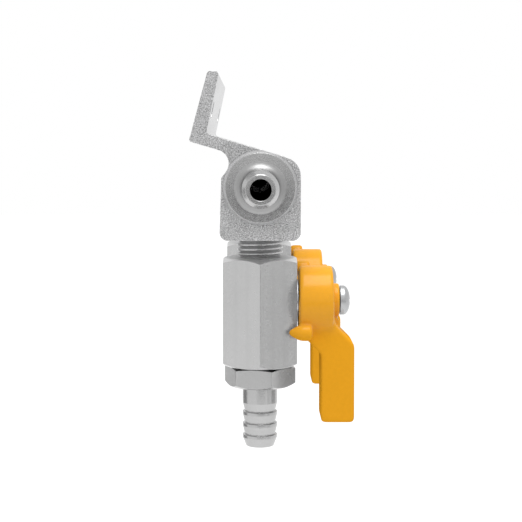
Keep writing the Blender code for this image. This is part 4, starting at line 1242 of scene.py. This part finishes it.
class MANIFOLD_OT_outlet_tails(Operator):
    """Make both outlet tails: thread and seat pocket above, hexagon, barb below"""

    bl_idname = "manifold.make_outlet_tails"
    bl_label = "Outlet hose tails"

    def execute(self, context):
        settings = context.scene.manifold
        body, cut, barb = settings.body, settings.thread, settings.barb
        top = body.bottom + cut.seat_gap
        under = top + body.tail_flange
        end = under + barb_length(barb)
        radius = cut.tail / 2
        core = thread_core(cut, "tail")
        groove = radius - body.ring_section - cut.seat_gap
        groove_end = body.bottom - body.ring_inset
        groove_start = groove_end - body.ring_groove
        edge = barb.edge
        outside = turned_solid([
            (core, body.pocket_rim), (core, groove_start, edge), (groove, groove_start, edge),
            (groove, groove_end, edge), (radius, groove_end, edge), (radius, under - PAST),
            (barb.stem / 2, under - PAST),
            *((wide, under + along, soft) for wide, along, soft in barb_corners(barb))])
        screwed = thread(cut, "tail", body.pocket_rim, groove_start - body.pocket_rim)
        hollow = turned_solid([
            (body.pocket / 2, body.pocket_rim - PAST), (body.pocket / 2, body.pocket_end),
            (barb.bore / 2, body.pocket_end), (barb.bore / 2, end - barb.mouth),
            (barb.bore / 2 + barb.mouth + PAST, end + PAST)])
        flange = chamfered_hexagon(body, body.tail_flats, HALF_PI - body.tail_turn, top, under,
                                   body.tail_slope, body.chamfer_slope)
        mesh = combined(flange, ("UNION", outside), ("UNION", screwed), ("DIFFERENCE", hollow))
        mesh.transform(DOWN)
        hand_over_both(mesh, "hose_tail")
        return {"FINISHED"}


def ring(middle, section, along, place):
    """Return an O-ring about an axis, with its centre at a distance along it."""
    radius = section / 2
    return band(middle - radius, middle + radius, along - radius, along + radius,
                radius * ALL_BUT_ROUND, place)


def stem_places(settings):
    """Return where the stem's parts and the screw's seat lie along its axis, from the ball's centre."""
    trim, handle, gap = settings.trim, settings.handle, settings.thread.seat_gap
    collar = trim.ball / 2 + trim.run_gap
    washer = collar + trim.collar_thickness + gap
    seat = washer + trim.washer + gap
    return {"collar": collar, "washer": washer, "seat": seat, "ring": (seat + settings.body.flats / 2) / 2,
            "shank": handle.hub_start + trim.drive_gap, "end": handle.hub_start + trim.drive_length,
            "screw": handle.hub_start + handle.hub_length + handle.boss_height + gap}


class MANIFOLD_OT_o_rings(Operator):
    """Make the O-rings of the tails and the stems"""

    bl_idname = "manifold.make_o_rings"
    bl_label = "O-rings"

    def execute(self, context):
        settings = context.scene.manifold
        body, trim = settings.body, settings.trim
        centre = body.bottom - body.ring_inset - body.ring_groove / 2
        tail_ring = ring((settings.thread.tail - body.ring_section) / 2, body.ring_section, centre, DOWN)
        stem_ring = ring((trim.stem - trim.ring_section) / 2, trim.ring_section,
                         stem_places(settings)["ring"], OUT_OF_WALL)
        hand_over_both(tail_ring, "tail_o_ring")
        hand_over_both(stem_ring, "stem_o_ring")
        return {"FINISHED"}


class MANIFOLD_OT_seats(Operator):
    """Make the four ball seats, hollowed towards the ball"""

    bl_idname = "manifold.make_seats"
    bl_label = "Ball seats"

    def execute(self, context):
        settings = context.scene.manifold
        trim, edge = settings.trim, settings.barb.edge
        inner = settings.body.bore / 2
        reach = trim.ball / 2 + trim.run_gap
        contact = inner + trim.seat_lip
        start = math.sqrt(reach ** 2 - contact ** 2)
        lips = [inner + trim.seat_lip * step / LIP_STEPS for step in range(LIP_STEPS + 1)]
        hollow = [(radius, math.sqrt(reach ** 2 - radius ** 2)) for radius in lips]
        outer = trim.seat / 2
        profile = hollow + [(outer, start, edge), (outer, start + trim.seat_thickness, edge),
                            (inner, start + trim.seat_thickness, edge)]
        hand_over_both(turned(profile), "upper_seat")
        hand_over_both(turned(profile, DOWN), "lower_seat")
        return {"FINISHED"}


class MANIFOLD_OT_balls(Operator):
    """Make both bored balls with the slot for the tang"""

    bl_idname = "manifold.make_balls"
    bl_label = "Balls"

    def execute(self, context):
        settings = context.scene.manifold
        trim, edge = settings.trim, settings.barb.edge
        radius = trim.ball / 2
        limit = math.acos(settings.body.bore / trim.ball)
        steps = math.ceil(2 * limit / ARC_STEP) * 2
        angles = [2 * limit * step / steps - limit for step in range(1, steps)]
        height = radius * math.sin(limit)
        inner = settings.body.bore / 2
        profile = [(inner, height, edge), (inner, -height, edge),
                   *((radius * math.cos(angle), radius * math.sin(angle)) for angle in angles)]
        half = trim.slot / 2
        depth = radius - trim.slot_depth
        outline = [(depth, -half), (radius + PAST, -half), (radius + PAST, half), (depth, half)]
        slot = pushed(outline, -radius, radius, TO_INLET)
        hand_over_both(combined(turned(profile), ("DIFFERENCE", slot)), "ball")
        return {"FINISHED"}


class MANIFOLD_OT_stems(Operator):
    """Make both stems: tang, thrust collar, ring groove and flatted end"""

    bl_idname = "manifold.make_stems"
    bl_label = "Stems"

    def execute(self, context):
        settings = context.scene.manifold
        trim, edge = settings.trim, settings.barb.edge
        cut = settings.thread
        at = stem_places(settings)
        shank = trim.stem / 2
        groove = shank - trim.ring_section - cut.seat_gap
        low, high = at["ring"] - trim.ring_groove / 2, at["ring"] + trim.ring_groove / 2
        collar_end = at["collar"] + trim.collar_thickness
        outline = [(trim.collar / 2, at["collar"]), (trim.collar / 2, collar_end), (shank, collar_end),
                   (shank, low), (groove, low), (groove, high), (shank, high), (shank, at["shank"])]
        drive = pushed(flatted_round(trim.drive, trim.drive_flats), at["shank"] - PAST, at["end"], UP, edge)
        start = trim.ball / 2 - trim.slot_depth + trim.drive_gap
        wide = trim.tang / 2
        tang = pushed([(-wide, -shank), (wide, -shank), (wide, shank), (-wide, shank)],
                      start, at["collar"] + PAST, UP, edge)
        bottom = at["screw"] - settings.screw.length - SCREW_SPARE
        radius = thread_hole(cut, "screw")
        hole = turned([(0, bottom - radius / 2), (radius, bottom), (radius, at["end"] - edge),
                       (radius + edge + PAST, at["end"] + PAST), (0, at["end"] + PAST)])
        quarter = Matrix.Rotation(HALF_PI, 4, "Z")
        spindle = turned_solid([(*corner, edge) for corner in outline])
        mesh = combined(spindle, ("UNION", moved(drive, quarter)), ("UNION", tang), ("DIFFERENCE", hole))
        mesh.transform(OUT_OF_WALL)
        hand_over_both(mesh, "stem")
        return {"FINISHED"}


class MANIFOLD_OT_stem_washers(Operator):
    """Make the thrust washers under the stems' collars"""

    bl_idname = "manifold.make_stem_washers"
    bl_label = "Stem washers"

    def execute(self, context):
        settings = context.scene.manifold
        trim = settings.trim
        low = stem_places(settings)["washer"]
        washer = band(trim.stem / 2 + trim.run_gap, trim.collar / 2, low, low + trim.washer,
                      settings.barb.edge, OUT_OF_WALL)
        hand_over_both(washer, "stem_washer")
        return {"FINISHED"}


class MANIFOLD_OT_handles(Operator):
    """Cast both lever handles"""

    bl_idname = "manifold.make_handles"
    bl_label = "Lever handles"

    def execute(self, context):
        settings = context.scene.manifold
        handle, trim = settings.handle, settings.trim
        face = handle.hub_start + handle.hub_length
        outer = handle.hub_start + handle.setout + handle.thickness
        lean = math.atan2(outer - face, handle.elbow - handle.neck_top)
        values = {name: getattr(handle, name) for name in HandleSizes.__annotations__}
        cell = values.pop("cell")
        for edge in ("hub_edge", "boss_edge", "lug_root_radius", "end_radius", "edge", "fillet"):
            values[edge] = blend_width(values[edge])
        values |= {
            "elbow_radius": blend_width(handle.elbow_radius, lean),
            "neck_radius": blend_width(handle.neck_radius, lean),
            "armpit_edge": blend_width(handle.elbow_radius, HALF_PI / 2),
            "mouth_edge": blend_width(handle.boss_edge / 2),
            "stem_hole": trim.drive + 2 * trim.drive_gap, "stem_flats": trim.drive_flats + 2 * trim.drive_gap,
            "socket_depth": trim.drive_length + trim.drive_gap, "entry": trim.stem + 2 * trim.drive_gap,
            "entry_depth": 2 * trim.drive_gap, "Finish": finish_for("front_handle"),
            "screw_hole": settings.thread.screw + 2 * settings.thread.gap,
        }
        spare = SPARE_CELLS * cell
        reach = handle.lug_offset + handle.lug / 2 + spare
        low = Vector((handle.lug_nose - spare, -reach, -handle.length - spare))
        high = Vector((outer + spare, reach, reach))
        cells = [round(length / cell) for length in high - low]
        values |= {"Low": low, "High": high, "Cells X": cells[0], "Cells Y": cells[1], "Cells Z": cells[2]}
        hand_over_both(grown("cast_handle", build_handle, values), "handle")
        return {"FINISHED"}


class MANIFOLD_OT_handle_screws(Operator):
    """Make both handle screws with a domed head and a cross recess"""

    bl_idname = "manifold.make_handle_screws"
    bl_label = "Handle screws"

    def execute(self, context):
        settings = context.scene.manifold
        screw, cut, edge = settings.screw, settings.thread, settings.barb.edge
        seat = stem_places(settings)["screw"]
        tip = seat - screw.length
        side = seat + screw.head_side
        head = screw.head / 2
        core = thread_core(cut, "screw")
        top = side + screw.dome
        angles = [HALF_PI * step / DOME_STEPS for step in range(1, DOME_STEPS)]
        dome = [(head * math.cos(angle), side + screw.dome * math.sin(angle)) for angle in angles]
        profile = [(0, tip), (core, tip), (core, seat, edge), (head, seat, edge), (head, side), *dome,
                   (0, top)]
        screwed = thread(cut, "screw", tip, screw.length - cut.screw_pitch)
        arm, waist = screw.recess / 2, screw.recess * RECESS_WAIST
        outline = []
        for quarter in range(4):
            spin = Matrix.Rotation(HALF_PI * quarter, 2)
            outline += [spin @ Vector(point) for point in ((arm, -waist), (arm, waist), (waist, waist))]
        cross = pushed(outline, top + PAST, top - screw.recess_depth, taper=RECESS_TAPER)
        mesh = combined(turned(profile), ("UNION", screwed), ("DIFFERENCE", cross))
        mesh.transform(OUT_OF_WALL)
        hand_over_both(mesh, "handle_screw")
        return {"FINISHED"}


# Stage

def mirrored_or_seen(tree):
    """Return a mask that is one for what the camera sees, directly or in metal and glass."""
    path = add_node(tree, "ShaderNodeLightPath")
    mask = Term(tree, path.outputs["Is Camera Ray"]) + Term(tree, path.outputs["Is Glossy Ray"])
    return (mask + Term(tree, path.outputs["Is Transmission Ray"])).within()


def white_surround(ambient):
    """Light the scene from all round, and show plain white to the camera and to mirrors."""
    world = bpy.data.worlds.new("white_surround")
    bpy.context.scene.world = world
    world.use_nodes = True
    tree = world.node_tree
    tree.nodes.clear()
    soft = add_node(tree, "ShaderNodeBackground", {"Color": WHITE, "Strength": ambient})
    white = add_node(tree, "ShaderNodeBackground", {"Color": WHITE, "Strength": 1.0})
    mix = add_node(tree, "ShaderNodeMixShader", {0: mirrored_or_seen(tree), 1: soft.outputs[0],
                                                 2: white.outputs[0]})
    add_node(tree, "ShaderNodeOutputWorld", {"Surface": mix.outputs[0]})


def plane(name, centre, facing, width, height, material):
    """Make a flat stage piece that faces a direction."""
    shape = bmesh.new()
    bmesh.ops.create_grid(shape, x_segments=1, y_segments=1, size=0.5)
    bmesh.ops.scale(shape, verts=shape.verts, vec=(width, height, 1))
    mesh = bpy.data.meshes.new(name)
    shape.to_mesh(mesh)
    shape.free()
    turn_to = Vector(facing).to_track_quat("Z", "Y").to_matrix().to_4x4()
    mesh.transform(Matrix.Translation(centre) @ turn_to)
    mesh.materials.append(material)
    piece = bpy.data.objects.new(name, mesh)
    bpy.context.scene.collection.objects.link(piece)
    return piece


def matt_grey(name, grey):
    """Return a matt grey for a stage piece."""
    return Finish(name, (grey, grey, grey), roughness=0.9, metallic=0.0)


def mirrored_card(name, place, width, height, grey):
    """Make a card that faces the object and shows in bright metal only."""
    card = plane(name, place, -Vector(place), width, height, matt_grey(name, grey).material)
    card.visible_camera = False
    card.visible_diffuse = False
    card.visible_shadow = False


def floor_finish(stage):
    """Return the pale floor, which looks white but keeps a shadow."""
    finish = matt_grey("pale_floor", stage.floor_grey)
    tree = finish.tree
    glow = add_node(tree, "ShaderNodeEmission", {"Color": WHITE,
                                                 "Strength": mirrored_or_seen(tree) * stage.floor_glow})
    both = add_node(tree, "ShaderNodeAddShader", {0: finish.shader.outputs[0], 1: glow.outputs[0]})
    connect(tree, both.outputs[0], tree.nodes["Material Output"].inputs["Surface"])
    return finish.material


class MANIFOLD_OT_stage(Operator):
    """Set up the camera, the floor and the light"""

    bl_idname = "manifold.make_stage"
    bl_label = "Stage"

    def execute(self, context):
        stage = context.scene.manifold.stage
        scene = context.scene
        scene.view_settings.view_transform = "Standard"
        lens = bpy.data.cameras.new("camera")
        lens.lens = stage.lens
        lens.shift_x, lens.shift_y = stage.shift
        lens.clip_start = CLIP_START
        camera = bpy.data.objects.new("camera", lens)
        camera.location = stage.eye
        camera.rotation_euler = Vector(stage.look).to_track_quat("-Z", "Y").to_euler()
        scene.collection.objects.link(camera)
        scene.camera = camera
        white_surround(stage.ambient)
        plane("floor", (0, 0, -stage.floor_drop), (0, 0, 1), stage.floor_width, stage.floor_width,
              floor_finish(stage))
        for card in ("dark", "pale", "back"):
            values = (getattr(stage, f"{card}_{value}") for value in ("place", "width", "height", "grey"))
            mirrored_card(f"{card}_card", *values)
        lamp = bpy.data.lights.new("soft_box", "AREA")
        lamp.shape = "RECTANGLE"
        lamp.size = stage.key_width
        lamp.size_y = stage.key_depth
        lamp.energy = stage.key
        soft_box = bpy.data.objects.new("soft_box", lamp)
        soft_box.location = stage.key_place
        aim = Vector(stage.key_aim) - soft_box.location
        soft_box.rotation_euler = aim.to_track_quat("-Z", "Y").to_euler()
        scene.collection.objects.link(soft_box)
        return {"FINISHED"}


MAKERS = (
    MANIFOLD_OT_bar, MANIFOLD_OT_inlet_tail, MANIFOLD_OT_end_plug, MANIFOLD_OT_end_washers,
    MANIFOLD_OT_valve_bodies, MANIFOLD_OT_outlet_tails, MANIFOLD_OT_o_rings, MANIFOLD_OT_seats,
    MANIFOLD_OT_balls, MANIFOLD_OT_stems, MANIFOLD_OT_stem_washers, MANIFOLD_OT_handles,
    MANIFOLD_OT_handle_screws, MANIFOLD_OT_stage,
)


class MANIFOLD_PT_sidebar(Panel):
    """Makers and settings of the wall manifold"""

    bl_idname = "MANIFOLD_PT_sidebar"
    bl_label = "Wall manifold"
    bl_space_type = "VIEW_3D"
    bl_region_type = "UI"
    bl_category = "Manifold"

    def draw(self, context):
        for maker in MAKERS:
            self.layout.operator(maker.bl_idname)
        settings = context.scene.manifold
        for group in ManifoldSettings.__annotations__:
            box = self.layout.box()
            box.label(text=group.capitalize())
            values = getattr(settings, group)
            for name in type(values).__annotations__:
                box.prop(values, name)


CLASSES = (
    BarSizes, ThreadSizes, BarbSizes, EndSizes, BodySizes, TrimSizes, HandleSizes, ScrewSizes,
    FinishColours, StageSettings, ManifoldSettings, *MAKERS, MANIFOLD_PT_sidebar,
)


def register():
    """Register the classes and the settings."""
    for item in CLASSES:
        bpy.utils.register_class(item)
    bpy.types.Scene.manifold = PointerProperty(type=ManifoldSettings)


def unregister():
    """Remove the settings and the classes."""
    del bpy.types.Scene.manifold
    for item in reversed(CLASSES):
        bpy.utils.unregister_class(item)


def main():
    """Make every piece and the stage."""
    register()
    for maker in MAKERS:
        group, call = maker.bl_idname.split(".")
        getattr(getattr(bpy.ops, group), call)()


if __name__ == "__main__":
    main()
